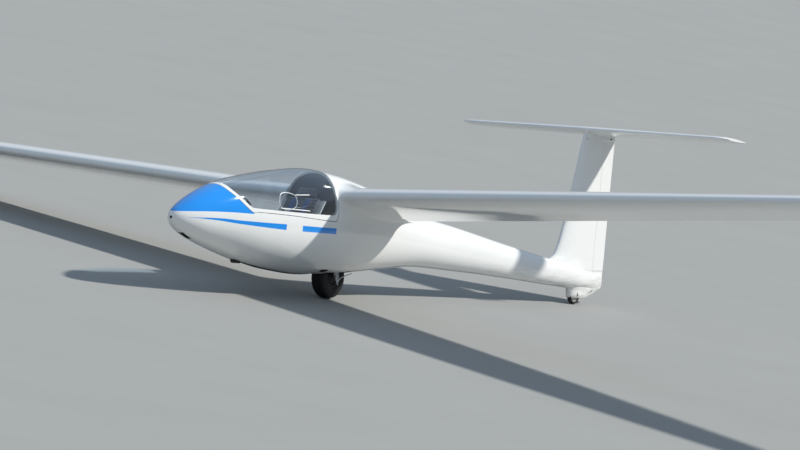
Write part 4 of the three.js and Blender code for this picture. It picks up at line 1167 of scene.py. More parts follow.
def dress(piece, name, materials, nodes=(), body="airframe"):
    """Names a piece, sets it in the row's frame on its body, and hides the CAD nodes it replaces."""
    piece.name = name
    mesh = piece.data
    mesh.name = name
    mesh.transform(LEVEL)
    painted = [face.material_index for face in mesh.polygons]
    mesh.materials.clear()
    for one in materials if isinstance(materials, (list, tuple)) else [materials]:
        mesh.materials.append(one)
    mesh.polygons.foreach_set("material_index", [min(k, len(mesh.materials) - 1) for k in painted])
    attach(piece, body)
    if nodes:
        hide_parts(*nodes)
    return piece


def paint_where(piece, index, test):
    """Gives the faces whose middle passes a test another material."""
    for face in piece.data.polygons:
        if test(face.center):
            face.material_index = index


def away_from(skins, reach=0.0012):
    """A test for faces that don't lie on the given skins."""
    tree = skin_tree(skins)[0]
    return lambda middle: (tree.find_nearest(middle)[3] or 0) > reach


# Fuselage pieces
NOSE_TIP = (0.0, 0.0, BODY_SECTIONS[0][1])
VENT = Sizes(radius=0.0135, cut_to=0.110, start=0.012, to=0.062, duct=0.0105)
NOSE_HOOK = Sizes(start=0.150, to=0.275, half=0.024, depth=0.046, below=0.09, above=0.06,
                  wall=0.008, side_wall=0.007, mouth=0.033)
BELLY_HOOK = Sizes(start=0.895, to=0.985, half=0.024, drop=0.014, mouth_half=0.007, mouth=0.030)
BELLY_STRIP = Sizes(start=0.988, to=1.975, half=0.020, drop=0.007, thickness=0.012)
BELLY_POCKET = [
    # station and y of the outlet's outline
    (1.962, 0.136), (1.985, 0.118), (2.012, 0.108), (2.045, 0.106), (2.072, 0.112), (2.084, 0.130),
    (2.072, 0.147), (2.045, 0.153), (2.012, 0.152), (1.985, 0.146),
]
POCKET_FLOOR = 0.10
POCKET_FROM = 1.95
CANOPY_FROM = 0.500
CANOPY_ROWS = 58
OVERRUN = 0.02
PAINT_SLACK = 0.001
# Station aft of which the cockpit's lining is painted dark blue-grey as shade
REAR_SHADE_FROM = 1.780
POCKET_ROOF = 0.246
FRONT_RINGS = body_rings(spread(0.0005, SHELL_END, 76))
HOLLOW_RINGS = body_rings(spread(HOLLOW_FROM, HOLLOW_TO, 60), SHELL_WALL)


def front_body():
    return loft(FRONT_RINGS, (NOSE_TIP, None))


def belly_bottom(station):
    return body_size(station)[1]


def belly_pocket():
    """The oval outlet on the port side of the belly, as a cutter of its whole depth; its cut walls are
    painted near black as shade.
    """
    return prism(BELLY_POCKET, POCKET_FLOOR, POCKET_ROOF, lambda s, y, z: (-s, y, z))


def cockpit_shell():
    shell = front_body()
    cut(shell, loft(HOLLOW_RINGS))
    cut(shell, side_plate(smooth_outline(CANOPY_OUTLINE), -OPEN_HALF, OPEN_HALF))
    vent = bar(at(-OVERRUN, 0, NOSE_TIP[2]), at(VENT.cut_to, 0, NOSE_TIP[2]), VENT.radius, 48)
    low = belly_bottom(NOSE_HOOK.start)
    hook = block((NOSE_HOOK.start, NOSE_HOOK.to), (-NOSE_HOOK.half, NOSE_HOOK.half),
                 (low - NOSE_HOOK.below, low + NOSE_HOOK.above))
    cut(shell, vent, hook, belly_pocket())
    polish(shell, [FRONT_RINGS, HOLLOW_RINGS])
    inside, hollow = away_from([FRONT_RINGS]), away_from([HOLLOW_RINGS])
    hook_top = low + 0.061

    def in_hook(middle):
        station = -middle.x
        near = NOSE_HOOK.start - PAINT_SLACK < station < NOSE_HOOK.to + PAINT_SLACK
        return near and middle.z < hook_top and inside(middle)

    def in_pocket(middle):
        low_enough = middle.z <= POCKET_ROOF + PAINT_SLACK and -middle.x > POCKET_FROM
        return low_enough and inside(middle) and hollow(middle)

    paint_where(shell, 1, lambda middle: inside(middle) and -middle.x > HOLLOW_FROM)
    # The lining towards the back of the cockpit is painted dark blue-grey as shade.
    paint_where(shell, 2, lambda middle: inside(middle) and -middle.x > REAR_SHADE_FROM)
    # The cut walls of the hook's recess and of the belly outlet are painted near black as shade.
    paint_where(shell, 3, in_hook)
    paint_where(shell, 3, in_pocket)
    dress(shell, "cockpit_shell", [LIVERY, LINING, REAR_LINING_SHADE, HOLE_SHADE_AND_BLACK],
          ["fuselage_shell"])


def canopy_pieces():
    outer = body_rings(spread(CANOPY_FROM, SHELL_END, CANOPY_ROWS))
    beyond = spread(CANOPY_FROM - OVERRUN, SHELL_END + OVERRUN, CANOPY_ROWS)
    frame_inner = body_rings(beyond, CANOPY_DEPTH)
    glass_inner = body_rings(beyond, GLASS_THICKNESS)
    rim = smooth_outline(inset_outline(CANOPY_OUTLINE, MOVE_GAP))
    pane = smooth_outline(GLASS_OUTLINE)
    frame_piece = cut(loft(outer), loft(frame_inner))
    overlap(frame_piece, side_plate(rim, -OPEN_HALF, OPEN_HALF))
    cut(frame_piece, side_plate(pane, -OPEN_HALF, OPEN_HALF))
    polish(frame_piece, [outer, frame_inner])
    paint_where(frame_piece, 1, away_from([outer]))
    dress(frame_piece, "canopy_rim", [GELCOAT, LINING], ["canopy_frame"], body="canopy")
    glass = cut(loft(outer), loft(glass_inner))
    overlap(glass, side_plate(inset_outline(pane, TOUCH_GAP), -OPEN_HALF, OPEN_HALF))
    polish(glass, [outer, glass_inner])
    dress(glass, "canopy_pane", ACRYLIC, ["canopy_glass"], body="canopy")


# Wing root fairing
FAIRING = Sizes(reach=0.060, tail=0.330, steps=12, aft_from=0.72, aft_length=0.28, narrow=0.8)
FILLET_BEND = 0.62
FILLET_SINK = 0.0003
CORE_SHARE = 0.3
CENTRE_RINGS = body_rings(np.linspace(SHELL_END, CENTRE_END, 24))
BOOM_RINGS = body_rings(np.linspace(CENTRE_END, BOOM_END, 96))
BODY_RINGS = FRONT_RINGS + CENTRE_RINGS[1:] + BOOM_RINGS[1:]


def outward_of(ring, flat):
    """Unit directions out of a section's ring, in the plane that leaves out one axis."""
    ring = np.asarray(ring, float)
    tangent = np.roll(ring, -1, axis=0) - np.roll(ring, 1, axis=0)
    keep = [axis for axis in range(3) if axis != flat]
    out = np.zeros_like(ring)
    out[:, keep[0]], out[:, keep[1]] = tangent[:, keep[1]], -tangent[:, keep[0]]
    out /= np.linalg.norm(out, axis=1, keepdims=True)
    away = ring - ring.mean(0)
    return out if (out * away).sum() > 0 else -out


def fillet_rings(starts, corners, outward, reaches, tree, steps):
    """Rings that round the corner between a wing or fin and the body's skin."""
    rings = [[] for _ in range(steps + 1)]
    for start, corner, away, reach in zip(starts, corners, outward, reaches):
        start, corner, away = Vector(start), Vector(corner), Vector(away)
        place, normal = tree.find_nearest(corner)[:2]
        side = (away - normal * away.dot(normal)).normalized()
        end, end_normal = tree.find_nearest(place + side * reach)[:2]
        back = place - end
        back = (back - end_normal * back.dot(end_normal)).normalized() * (place - end).length
        first, second = start.lerp(place, FILLET_BEND), end + back * FILLET_BEND
        end = end - end_normal * FILLET_SINK
        for i, ring in enumerate(rings):
            t = i / steps
            ring.append(start * (1 - t) ** 3 + first * 3 * t * (1 - t) ** 2 + second * 3 * t * t * (1 - t)
                        + end * t**3)
    return np.array(rings)


def root_fairing(side, tree):
    """The fairing that runs out of the fuselage into a wing's root section."""
    root = wing_ring(WING_ROOT_Y, side)
    station, height = -root[:, 0], root[:, 2]
    values = wing_at(WING_ROOT_Y)
    share = np.clip((station - values["station"]) / values["chord"], 0, 1)
    aft = eased((share - FAIRING.aft_from) / FAIRING.aft_length)
    away = outward_of(root, 1)
    stretched = away * (FAIRING.reach * (1 - FAIRING.narrow * aft))[:, None]
    stretched[:, 0] -= FAIRING.tail * aft
    reaches = np.linalg.norm(stretched, axis=1)
    corners = root.copy()
    corners[:, 1] = [side * body_side(s, z) for s, z in zip(station, height)]
    rings = fillet_rings(root, corners, stretched / reaches[:, None], reaches, tree, FAIRING.steps)
    core = rings[-1].copy()
    core[:, 1] *= CORE_SHARE
    return rings, loft(np.concatenate([rings, core[None]]))


def centre_section():
    tree = skin_tree([BODY_RINGS])[0]
    centre = loft(CENTRE_RINGS)
    skins = [CENTRE_RINGS]
    for side in (1, -1):
        rings, fairing = root_fairing(side, tree)
        skins.append(rings)
        join(centre, fairing)
    cut(centre, front_body(), loft(BOOM_RINGS))
    reach = MAIN_WHEEL.radius + WELL.clearance + WELL.end_room
    cut(centre, block((MAIN_WHEEL.station - reach, MAIN_WHEEL.station + reach),
                      (-WELL.half_width, WELL.half_width), (WELL.floor, WELL.roof)))
    cut(centre, belly_pocket())
    polish(centre, skins)
    # The cut walls of the wheel well and of the belly outlet are painted near black as shade.
    paint_where(centre, 1, away_from(skins))
    dress(centre, "centre_section", [GELCOAT_BELLY, HOLE_SHADE_AND_BLACK], ["fuselage_centre"])


def control_surface(whole, rings, ends_at, to_point, name, body, node):
    """Cuts a control surface's skin out of a whole, and gives its hinge line."""
    hinge = [to_point(end, 0, 0) for end in ends_at(0)]
    piece = overlap(copy_of(whole), control_space(ends_at(0), 0, to_point))
    cut(piece, *end_pins(hinge, PIN.slack))
    polish(piece, [rings])
    dress(piece, name, GELCOAT, [node], body=body)
    return hinge


# Tail pieces
FIN_RINGS = [fin_ring(z) for z in places((0.058, 0.16, 14), (0.17, 0.62, 40), (0.66, 1.56, 30))]
TAILPLANE_PLACES = places((0, 1.29, 20), (1.31, 1.395, 12))
FIN_FILLET = Sizes(height=0.47, reach=0.052, least=0.0002, fade=(6.02, 6.26), sink=0.0005,
                   core_drop=0.02, steps=12)
# First station, last station, top height and half width of what is cut off above the tailplane
FIN_CUT = (5.8, 6.9, 1.9, 0.2)
FIN_BOLT = Sizes(sunk=0.002, proud=0.0030, eye=0.0075)
FIN_BOLT_SHAPE = [(0, 0.0150), (0.5, 0.0150), (0.80, 0.0138), (1.0, 0.0110)]
# Below this height the fin's cut walls, those of the tail wheel's well, are painted near black as shade
FIN_WELL_SHADE_BELOW = 0.18
MARK_PROUD = 0.0006
TAIL_MARKS = [
    # station, height, length, width and slope in degrees of the dark plates painted as the shade in small
    # openings on the fin and tail fairing
    (6.514, 0.222, 0.007, 0.007, 0),
    (6.485, 0.186, 0.007, 0.007, 0),
    (6.112, 0.094, 0.030, 0.011, 55),
    (6.345, 0.113, 0.085, 0.009, 19),
    (6.545, 1.487, 0.046, 0.016, -4),
    (6.142, 1.480, 0.014, 0.006, 75),
]


def fin_side(station, height):
    """Half thickness of the fin at a station and height."""
    lead, trail, half = fin_row(height)
    share = min(max((station - lead) / (trail - lead), 0.0), 1.0)
    powers = (math.sqrt(share), share, share**2, share**3, share**4)
    return 5 * 2 * half * sum(a * p for a, p in zip(THICKNESS_CURVE, powers))


def fin_fillet():
    """The rounded corner between the fin and the top of the tail boom."""
    tree = skin_tree([BOOM_RINGS])[0]
    ring = fin_ring(FIN_FILLET.height)
    away = outward_of(ring, 2)
    stations = -ring[:, 0]
    first, last = FIN_FILLET.fade
    fade = eased((last - stations) / (last - first))
    corners = ring.copy()
    corners[:, 2] = [body_top(station, y) for station, y in zip(stations, ring[:, 1])]
    reaches = FIN_FILLET.reach * fade + FIN_FILLET.least
    starts = ring - away * FIN_FILLET.sink
    rings = fillet_rings(starts, corners, away, reaches, tree, FIN_FILLET.steps)
    core = rings[-1].copy()
    core[:, 1] *= CORE_SHARE
    core[:, 2] -= FIN_FILLET.core_drop
    return rings, loft(np.concatenate([rings, core[None]]))


def tail_marks():
    """Dark plates painted as the shade in small openings on the fin and its fairing, and the bolt cover near
    the fin's top.
    """
    for i, (station, height, length, width, slope) in enumerate(TAIL_MARKS):
        turn = math.radians(slope)
        outline = []
        for x, z in circle(1.0, 28):
            along, over = x * length / 2, z * width / 2
            outline.append((station + along * math.cos(turn) - over * math.sin(turn),
                            height + along * math.sin(turn) + over * math.cos(turn)))
        half = fin_side(station, height) + MARK_PROUD
        mark = side_plate(outline, -half, half)
        dress(mark, f"tail_opening_shade_{i}", HOLE_SHADE_AND_BLACK)
    station, height = TAIL_MARKS[-1][:2]
    side = fin_side(station, height)
    cover = revolved(at(station, side - FIN_BOLT.sunk, height),
                     at(station, side + FIN_BOLT.proud, height), FIN_BOLT_SHAPE, 40)
    cut(cover, bar(at(station, side - 0.01, height), at(station, side + 0.01, height), FIN_BOLT.eye, 32))
    polish(cover, sharp=50)
    dress(cover, "fin_bolt_cover", WHITE_PLASTIC)


def tail_pieces():
    across = [-y for y in TAILPLANE_PLACES[:0:-1]] + list(TAILPLANE_PLACES)
    plane_rings = [tailplane_ring(y) for y in across]
    boom = loft(BOOM_RINGS)
    fin = loft(FIN_RINGS)
    corner_rings, corner = fin_fillet()
    join(fin, corner)
    cut(boom, copy_of(fin))
    polish(boom, [BOOM_RINGS])
    dress(boom, "boom_skin", GELCOAT_BELLY, ["tail_boom"])

    hinge = control_surface(fin, FIN_RINGS, rudder_ends, fin_point, "rudder_skin", "rudder", "rudder")
    cut(fin, control_space(rudder_ends(MOVE_GAP), MOVE_GAP, fin_point))
    join(fin, *end_pins(hinge))
    cut(fin, loft([ring + (0, 0, -TOUCH_GAP) for ring in plane_rings]))
    slope = math.tan(TAILPLANE_TURN)
    start, end, top, half = FIN_CUT
    chord_line = [(s, TAILPLANE_LEAD.height - (s - TAILPLANE_LEAD.station) * slope) for s in (start, end)]
    cut(fin, side_plate(chord_line + [(end, top), (start, top)], -half, half))
    half, radius = TAIL_WHEEL.half_width + TAIL_WELL.side, TAIL_WHEEL.radius + TAIL_WELL.clearance
    well_ends = [at(TAIL_WHEEL.station, y, TAIL_WHEEL.height) for y in (-half, half)]
    cut(fin, bar(*well_ends, radius, 64))
    polish(fin, [FIN_RINGS, corner_rings])
    inside = away_from([FIN_RINGS, corner_rings])
    # The tail wheel well's walls are painted near black as shade.
    paint_where(fin, 1, lambda middle: inside(middle) and middle.z < FIN_WELL_SHADE_BELOW)
    dress(fin, "fin_skin", [GELCOAT_BELLY, HOLE_SHADE_AND_BLACK], ["fin"])

    whole = loft(plane_rings)
    stabilizer = copy_of(whole)
    for name, side in (("port", 1), ("starboard", -1)):
        to_point = span_point(side)
        hinge = control_surface(whole, plane_rings, elevator_ends, to_point, f"elevator_skin_{name}",
                                "elevator", f"elevator_{name}")
        cut(stabilizer, control_space(elevator_ends(MOVE_GAP), MOVE_GAP, to_point))
        join(stabilizer, *end_pins(hinge))
    bpy.data.objects.remove(whole)
    polish(stabilizer, [plane_rings])
    dress(stabilizer, "tailplane_skin", GELCOAT, ["tailplane"])


# Wing pieces
WING_PLACES = places((WING_ROOT_Y, WING_BREAK_Y, 24), (4.65, WING_OUTER_Y, 18), (7.23, HALF_SPAN, 16))


def wing_pieces(name, side):
    rings = [wing_ring(y, side) for y in WING_PLACES]
    whole = loft(rings)
    to_point = span_point(side)
    hinge = control_surface(whole, rings, aileron_ends, to_point, f"aileron_skin_{name}", f"aileron_{name}",
                            f"aileron_{name}")

    frame_matrix = brake_frame(side)
    half_span, half_cap = (BRAKE.to - BRAKE.start) / 2, BRAKE.cap_width / 2
    slot_x, slot_y = half_cap + MOVE_GAP, half_span + MOVE_GAP
    depth = BRAKE_BLADE.slot_depth
    slot = brake_box(frame_matrix, (-slot_x, slot_x), (-slot_y, slot_y), (-depth, BRAKE.above))
    cap = overlap(copy_of(whole), brake_box(frame_matrix, (-half_cap, half_cap), (-half_span, half_span),
                                            (-BRAKE.cap_depth, BRAKE.above)))
    polish(cap, [rings])
    dress(cap, f"brake_cap_{name}", GELCOAT, [f"airbrake_cap_{name}"],
          body=f"airbrake_{name}")

    def rails(extra):
        near = half_span - BRAKE_BLADE.short - BRAKE_RAIL.grip - extra
        far = slot_y + BRAKE_RAIL.root
        half = BRAKE_RAIL.half_width + extra
        heights = (-depth - BRAKE_RAIL.root, -BRAKE_RAIL.top + extra)
        reaches = ((near, far), (-far, -near))
        return [brake_box(frame_matrix, (-half, half), reach, heights) for reach in reaches]

    blade = brake_box(frame_matrix, (-BRAKE_BLADE.thickness / 2, BRAKE_BLADE.thickness / 2),
                      (-half_span + BRAKE_BLADE.short, half_span - BRAKE_BLADE.short),
                      (-BRAKE.cap_depth - BRAKE_BLADE.height, -BRAKE.cap_depth - TOUCH_GAP))
    cut(blade, *rails(PIN.slack))
    soften(blade, 0.0008)
    dress(blade, f"brake_blade_{name}", ALLOY, [f"airbrake_blade_{name}"],
          body=f"airbrake_{name}")

    wing = cut(copy_of(whole), control_space(aileron_ends(MOVE_GAP), MOVE_GAP, to_point), slot)
    join(wing, *end_pins(hinge), *rails(0))
    polish(wing, [rings])
    dress(wing, f"wing_skin_{name}", GELCOAT, [f"wing_{name}"])
    tip_skid(name, side, whole)


def tip_skid(name, side, wing):
    """A rounded blade under a wing tip."""
    height = chord_points(wing_at(TIP_SKID.y), np.array([[TIP_SKID.chord_place, 0.0]]))[1][0]
    low, half = height - TIP_SKID.depth - TIP_SKID.sink, TIP_SKID.length / 2
    station, bow, top = TIP_SKID.station, TIP_SKID.bow, height + TIP_SKID.root
    angles = [math.pi * (1 + i / TIP_SKID.steps) for i in range(TIP_SKID.steps + 1)]
    outline = [(station - half * math.cos(a), low + bow + bow * math.sin(a)) for a in angles]
    outline += [(station - half, top), (station + half, top)]
    y, thick = side * TIP_SKID.y, TIP_SKID.thickness / 2
    skid = cut(side_plate(outline, y - thick, y + thick), wing)
    soften(skid, 0.0025, 3)
    dress(skid, f"wing_tip_skid_{name}", BLACK, [f"tip_skid_{name}"])


cockpit_shell()
canopy_pieces()
centre_section()
tail_pieces()
for side_name, side_sign in (("port", 1), ("starboard", -1)):
    wing_pieces(side_name, side_sign)


# Wheels and their gear
TYRE_WALL = [
    # share of the tyre's height, share of its half width
    (0.00, 0.70), (0.04, 0.79), (0.12, 0.89), (0.25, 0.965), (0.42, 1.0), (0.58, 0.985), (0.72, 0.935),
    (0.84, 0.84), (0.92, 0.72), (0.96, 0.60),
]
RIM_SIDE = [
    # share of the rim's radius, share of the half width, extra radius
    (0.34, 0.80, 0.0), (0.37, 0.76, 0.0), (0.40, 0.46, 0.0), (0.46, 0.42, 0.0), (0.76, 0.42, 0.0),
    (0.84, 0.50, 0.0), (0.90, 0.68, 0.0), (0.98, 0.745, 0.0), (1.00, 0.75, 0.0035), (1.00, 0.72, 0.0055),
    (1.00, 0.66, 0.0055), (1.00, 0.62, 0.0),
]
TAIL_RIM_SIDE = [
    (0.20, 0.80, 0.0), (0.24, 0.78, 0.0), (0.26, 0.62, 0.0), (0.30, 0.58, 0.0), (0.88, 0.58, 0.0),
    (0.93, 0.62, 0.0), (0.96, 0.74, 0.0), (1.00, 0.76, 0.002), (1.00, 0.72, 0.003), (1.00, 0.62, 0.0),
]
AXLE = Sizes(radius=0.012, half=0.0935, nut=0.019, nut_from=0.0858, nut_short=0.0012,
             washer=0.0215, washer_thick=0.0022, bite=0.0005)
TAIL_AXLE_RADIUS = 0.008
BORE_ROOM = 0.0005
RIM_HOLES = Sizes(count=6, place=0.61, radius=0.0095)
RIM_BOLT = Sizes(radius=0.0055, height=0.006, sunk=0.002)
WEB_ROW = 4
TREAD_ROWS = 17
GROOVE_CLEAR = 0.7
GROOVE_SHAPE = ((-0.5, 0), (-0.32, 1), (0.32, 1), (0.5, 0))


def tyre(name, body, wheel, grooves, width, depth, node):
    """A tyre with beads, bulging walls and a crowned tread with grooves round it."""
    outer, inner, half = wheel.radius, wheel.rim, wheel.half_width
    rows = list(range(len(TYRE_WALL)))
    heights, widths = (curve_through(rows, [row[k] for row in TYRE_WALL]) for k in (0, 1))
    wall = [(inner + (outer - inner) * heights(t), half * widths(t)) for t in np.linspace(0, rows[-1], 28)]
    edge_radius, edge = wall[-1]

    def crown(y):
        return outer - (outer - edge_radius) * (y / edge) ** 2

    tread = []
    for y in np.linspace(-edge, edge, TREAD_ROWS)[1:-1]:
        if all(abs(y - g * half) > width * GROOVE_CLEAR for g in grooves):
            tread.append((crown(y), y))
    for g in grooves:
        for offset, down in GROOVE_SHAPE:
            y = g * half + offset * width
            tread.append((crown(y) - down * depth, y))
    tread.sort(key=lambda point: -point[1])
    profile = wall + tread + [(radius, -y) for radius, y in reversed(wall)]
    piece = turned(profile, wheel.station, wheel.height, 112)
    polish(piece, sharp=42)
    dress(piece, name, RUBBER, [node], body=body)


def wheel_rim(name, body, wheel, sides, bore, finish, node, holes=None):
    """A turned rim with its hub, web and lips, and with holes and bolts in its web."""
    radius, half = wheel.rim, wheel.half_width
    side = [(bore, sides[0][1] * half)]
    side += [(radius * share + extra, half * place) for share, place, extra in sides]
    profile = side + [(r, -y) for r, y in reversed(side)]
    piece = turned(profile, wheel.station, wheel.height, 96)
    web = sides[WEB_ROW][1] * half
    if holes:
        for i in range(2 * holes.count):
            angle = math.pi * i / holes.count
            place = radius * holes.place
            station = wheel.station + place * math.cos(angle)
            height = wheel.height + place * math.sin(angle)
            if i % 2:
                for sign in (1, -1):
                    head = bar(at(station, sign * (web - RIM_BOLT.sunk), height),
                               at(station, sign * (web + RIM_BOLT.height), height), RIM_BOLT.radius, 6)
                    join(piece, head)
            else:
                cut(piece, bar(at(station, -half, height), at(station, half, height), holes.radius))
    soften(piece, 0.0008)
    dress(piece, name, finish, [node], body=body)


def main_axle():
    """The main axle, with a washer and a nut at each end."""
    station, height, half = MAIN_WHEEL.station, MAIN_WHEEL.height, AXLE.half
    piece = bar(at(station, -half, height), at(station, half, height), AXLE.radius, 40)
    for sign in (1, -1):
        start = sign * AXLE.nut_from
        middle = start + sign * AXLE.washer_thick
        washer = bar(at(station, start, height), at(station, middle, height), AXLE.washer, 40)
        nut = bar(at(station, middle - sign * AXLE.bite, height),
                  at(station, sign * (half - AXLE.nut_short), height), AXLE.nut, 6)
        join(piece, washer, nut)
    soften(piece, 0.0006)
    dress(piece, "main_wheel_axle", BRIGHT_STEEL, ["main_axle"])


def smooth_path(points, steps=8):
    """Points along a smooth curve through the given ones."""
    points = [Vector(p) for p in points]
    padded = [points[0] * 2 - points[1], *points, points[-1] * 2 - points[-2]]
    path = []
    for a, b, c, d in zip(padded, padded[1:], padded[2:], padded[3:]):
        for t in (k / steps for k in range(steps)):
            path.append((b * 2 + (c - a) * t + (a * 2 - b * 5 + c * 4 - d) * t * t
                         + (b * 3 - a - c * 3 + d) * t**3) * 0.5)
    return path + [points[-1]]


def swept(path, section, up=(0, 0, 1)):
    """A closed solid with a section, given as across and up, along a path."""
    above = Vector(up)
    rings = []
    for i, point in enumerate(path):
        along = (path[min(i + 1, len(path) - 1)] - path[max(i - 1, 0)]).normalized()
        across = along.cross(above).normalized()
        above = across.cross(along)
        rings.append([point + across * x + above * y for x, y in section])
    return loft(rings)


def band(width, thickness, corner=4):
    """A strap's section: flat, with round edges."""
    half, edge = (width - thickness) / 2, thickness / 2
    right = [(half + edge * math.sin(a), edge * math.cos(a)) for a in np.linspace(0, math.pi, 2 * corner + 1)]
    return right + [(-x, -y) for x, y in right]


BRAKE_LEVER = Sizes(y=(0.0945, 0.0995), eye=0.0193, wall=0.007, rod_radius=0.004, boss=0.008,
                    boss_place=(-0.004, -0.050), boss_y=(-0.001, 0.0085))
LEVER_FOOT = [(-0.0125, -0.048), (-0.009, -0.055), (-0.001, -0.057), (0.005, -0.051)]
ROD_ROUTE = [
    # aft, out and up from the axle and the lever's middle
    (-0.006, 0.005, -0.050), (0.004, 0.004, -0.040), (0.030, 0.002, -0.012), (0.070, 0, 0.008),
    (0.140, -0.003, 0.026), (0.215, -0.0045, 0.044),
]


def brake_lever():
    """The wheel brake's lever on the axle and its bent pull rod, which runs aft into the well."""
    s, z = MAIN_WHEEL.station, MAIN_WHEEL.height
    low, high = BRAKE_LEVER.y
    eye = BRAKE_LEVER.eye + BRAKE_LEVER.wall
    arc = [math.radians(a) for a in range(-60, 241, 12)]
    outline = [(s + eye * math.cos(a), z + eye * math.sin(a)) for a in arc]
    outline += [(s + aft, z + up) for aft, up in LEVER_FOOT]
    lever = side_plate(outline, low, high)
    cut(lever, bar(at(s, low - 0.01, z), at(s, high + 0.01, z), BRAKE_LEVER.eye, 6))
    aft, up = BRAKE_LEVER.boss_place
    start, end = BRAKE_LEVER.boss_y
    join(lever, bar(at(s + aft, low + start, z + up), at(s + aft, high + end, z + up),
                    BRAKE_LEVER.boss))
    soften(lever, 0.0008)
    middle = (low + high) / 2
    route = [at(s + aft, middle + out, z + up) for aft, out, up in ROD_ROUTE]
    join(lever, swept(smooth_path(route), circle(BRAKE_LEVER.rod_radius)))
    shade(lever)
    dress(lever, "brake_lever_arm", BRIGHT_STEEL, ["brake_lever"])


def wheel_gear():
    tyre("main_wheel_tyre", "main_wheel", MAIN_WHEEL, (-0.34, 0.0, 0.34), 0.0075, 0.005, "main_tyre")
    wheel_rim("main_wheel_rim", "main_wheel", MAIN_WHEEL, RIM_SIDE, AXLE.radius + BORE_ROOM, RIM_SHADE_PAINT,
              "main_rim", RIM_HOLES)
    tyre("tail_wheel_tyre", "tail_wheel", TAIL_WHEEL, (), 0.004, 0.002, "tail_tyre")
    wheel_rim("tail_wheel_rim", "tail_wheel", TAIL_WHEEL, TAIL_RIM_SIDE, TAIL_AXLE_RADIUS + BORE_ROOM, NYLON,
              "tail_rim")
    main_axle()
    brake_lever()


# Small things under and in front of the fuselage
CLAW_PATH = [(0.182, 0.030), (0.186, 0.006), (0.202, -0.003), (0.217, 0.004), (0.219, 0.014)]


def nose_inlet():
    tip = NOSE_TIP[2]
    vent = bar(at(VENT.start, 0, tip), at(VENT.to, 0, tip), VENT.radius - TOUCH_GAP, 48)
    cut(vent, bar(at(0.0, 0, tip), at(VENT.to + 0.008, 0, tip), VENT.duct, 48))
    soften(vent, 0.0008)
    dress(vent, "nose_air_inlet", BLACK, ["nose_vent"])


def nose_hook():
    start, end = NOSE_HOOK.start + TOUCH_GAP, NOSE_HOOK.to - TOUCH_GAP
    half, wall, side_wall = NOSE_HOOK.half - TOUCH_GAP, NOSE_HOOK.wall, NOSE_HOOK.side_wall
    low = belly_bottom(start)
    below = low - NOSE_HOOK.below
    case = block((start, end), (-half, half), (below, low + NOSE_HOOK.depth))
    overlap(case, front_body())
    cut(case, block((start + wall, end - wall), (-half + side_wall, half - side_wall),
                    (below, low + NOSE_HOOK.mouth)))
    soften(case, 0.0008)
    dress(case, "nose_hook_case", HOLE_SHADE_AND_BLACK, ["nose_tow_hook"])
    claw = swept(smooth_path([at(s, 0, low + up) for s, up in CLAW_PATH]), band(0.012, 0.008))
    claw.data.shade_smooth()
    dress(claw, "nose_hook_claw", BRIGHT_STEEL)


def belly_hook():
    start, end, half, drop = BELLY_HOOK.start, BELLY_HOOK.to, BELLY_HOOK.half, BELLY_HOOK.drop
    low = belly_bottom(end) - drop
    outline = [(start, low + 0.014), (start + 0.018, low), (end - 0.008, low), (end, low + 0.008),
               (end, low + 0.05), (start, low + 0.05)]
    plate = side_plate(outline, -half, half)
    soften(plate, 0.003, 3)
    mouth = BELLY_HOOK.mouth_half
    heights = (low - 0.005, low + BELLY_HOOK.mouth)
    cut(plate, block((start + 0.032, end - 0.026), (-mouth, mouth), heights),
        loft(body_rings(np.linspace(0.8, 1.1, 12), -TOUCH_GAP)))
    shade(plate)
    dress(plate, "belly_hook_plate", BLACK, ["belly_tow_hook"])


def belly_strip():
    """The wear strip along the keel, thinner at both ends."""
    start, end, half, drop = BELLY_STRIP.start, BELLY_STRIP.to, BELLY_STRIP.half, BELLY_STRIP.drop
    thick = BELLY_STRIP.thickness
    path = [at(s, 0, belly_bottom(s) - drop * min(1, 0.3 + 3 * (s - start), 0.3 + 6 * (end - s)) + thick / 2)
            for s in np.linspace(start, end, 60)]
    strip = cut(swept(path, band(2 * half, thick)), front_body())
    shade(strip)
    dress(strip, "belly_wear_strip", BLACK, ["belly_strip"])


# Canopy fittings
CANOPY_KNOBS = [
    # station, height, finish
    (1.150, 0.708, "white"),
    (1.700, 0.682, "red"),
]
CANOPY_HINGES = [(1.000, -0.293, 0.693), (1.750, -0.318, 0.656)]
VENT_WINDOW = [(1.138, 0.816), (1.175, 0.866), (1.271, 0.877), (1.361, 0.847), (1.343, 0.773), (1.257, 0.742),
               (1.165, 0.748), (1.132, 0.783)]
WINDOW_RAILS = [
    # start station and height, end station and height
    ((1.357, 0.863), (1.554, 0.869)),
    ((1.122, 0.750), (1.528, 0.737)),
]
WINDOW_RIM = Sizes(reach=0.03, rows=14, inner_reach=0.01, proud=0.0022, width=0.005)
RAIL = Sizes(off=0.0028, width=0.009, thickness=0.005, rows=14, up=(0, 1, 0.3))
KNOB = Sizes(root=0.004, reach=0.026)
KNOB_SHAPE = [(0, 0.0052), (0.46, 0.0052), (0.50, 0.0062), (0.56, 0.0088), (0.68, 0.009), (0.90, 0.009),
              (0.96, 0.0080), (1.0, 0.0055)]
LUG = Sizes(half_length=0.030, out=0.060, inwards=0.014, half_height=0.016)


def level_copy(node):
    """A copy of a CAD node's mesh in the level frame, with its corners joined."""
    piece = new_piece(frame["nodes"][node].data.copy())
    piece.data.transform(LEVEL.inverted())
    work = bmesh.new()
    work.from_mesh(piece.data)
    bmesh.ops.remove_doubles(work, verts=work.verts, dist=0.00001)
    work.to_mesh(piece.data)
    work.free()
    return piece


def closed_curve(outline, steps=8):
    """A smooth closed outline through the given points."""
    points = [Vector((*p, 0)) for p in outline]
    path = smooth_path([points[-1], *points, points[0], points[1]], steps)
    return [(p.x, p.y) for p in path[steps:-steps - 1]]


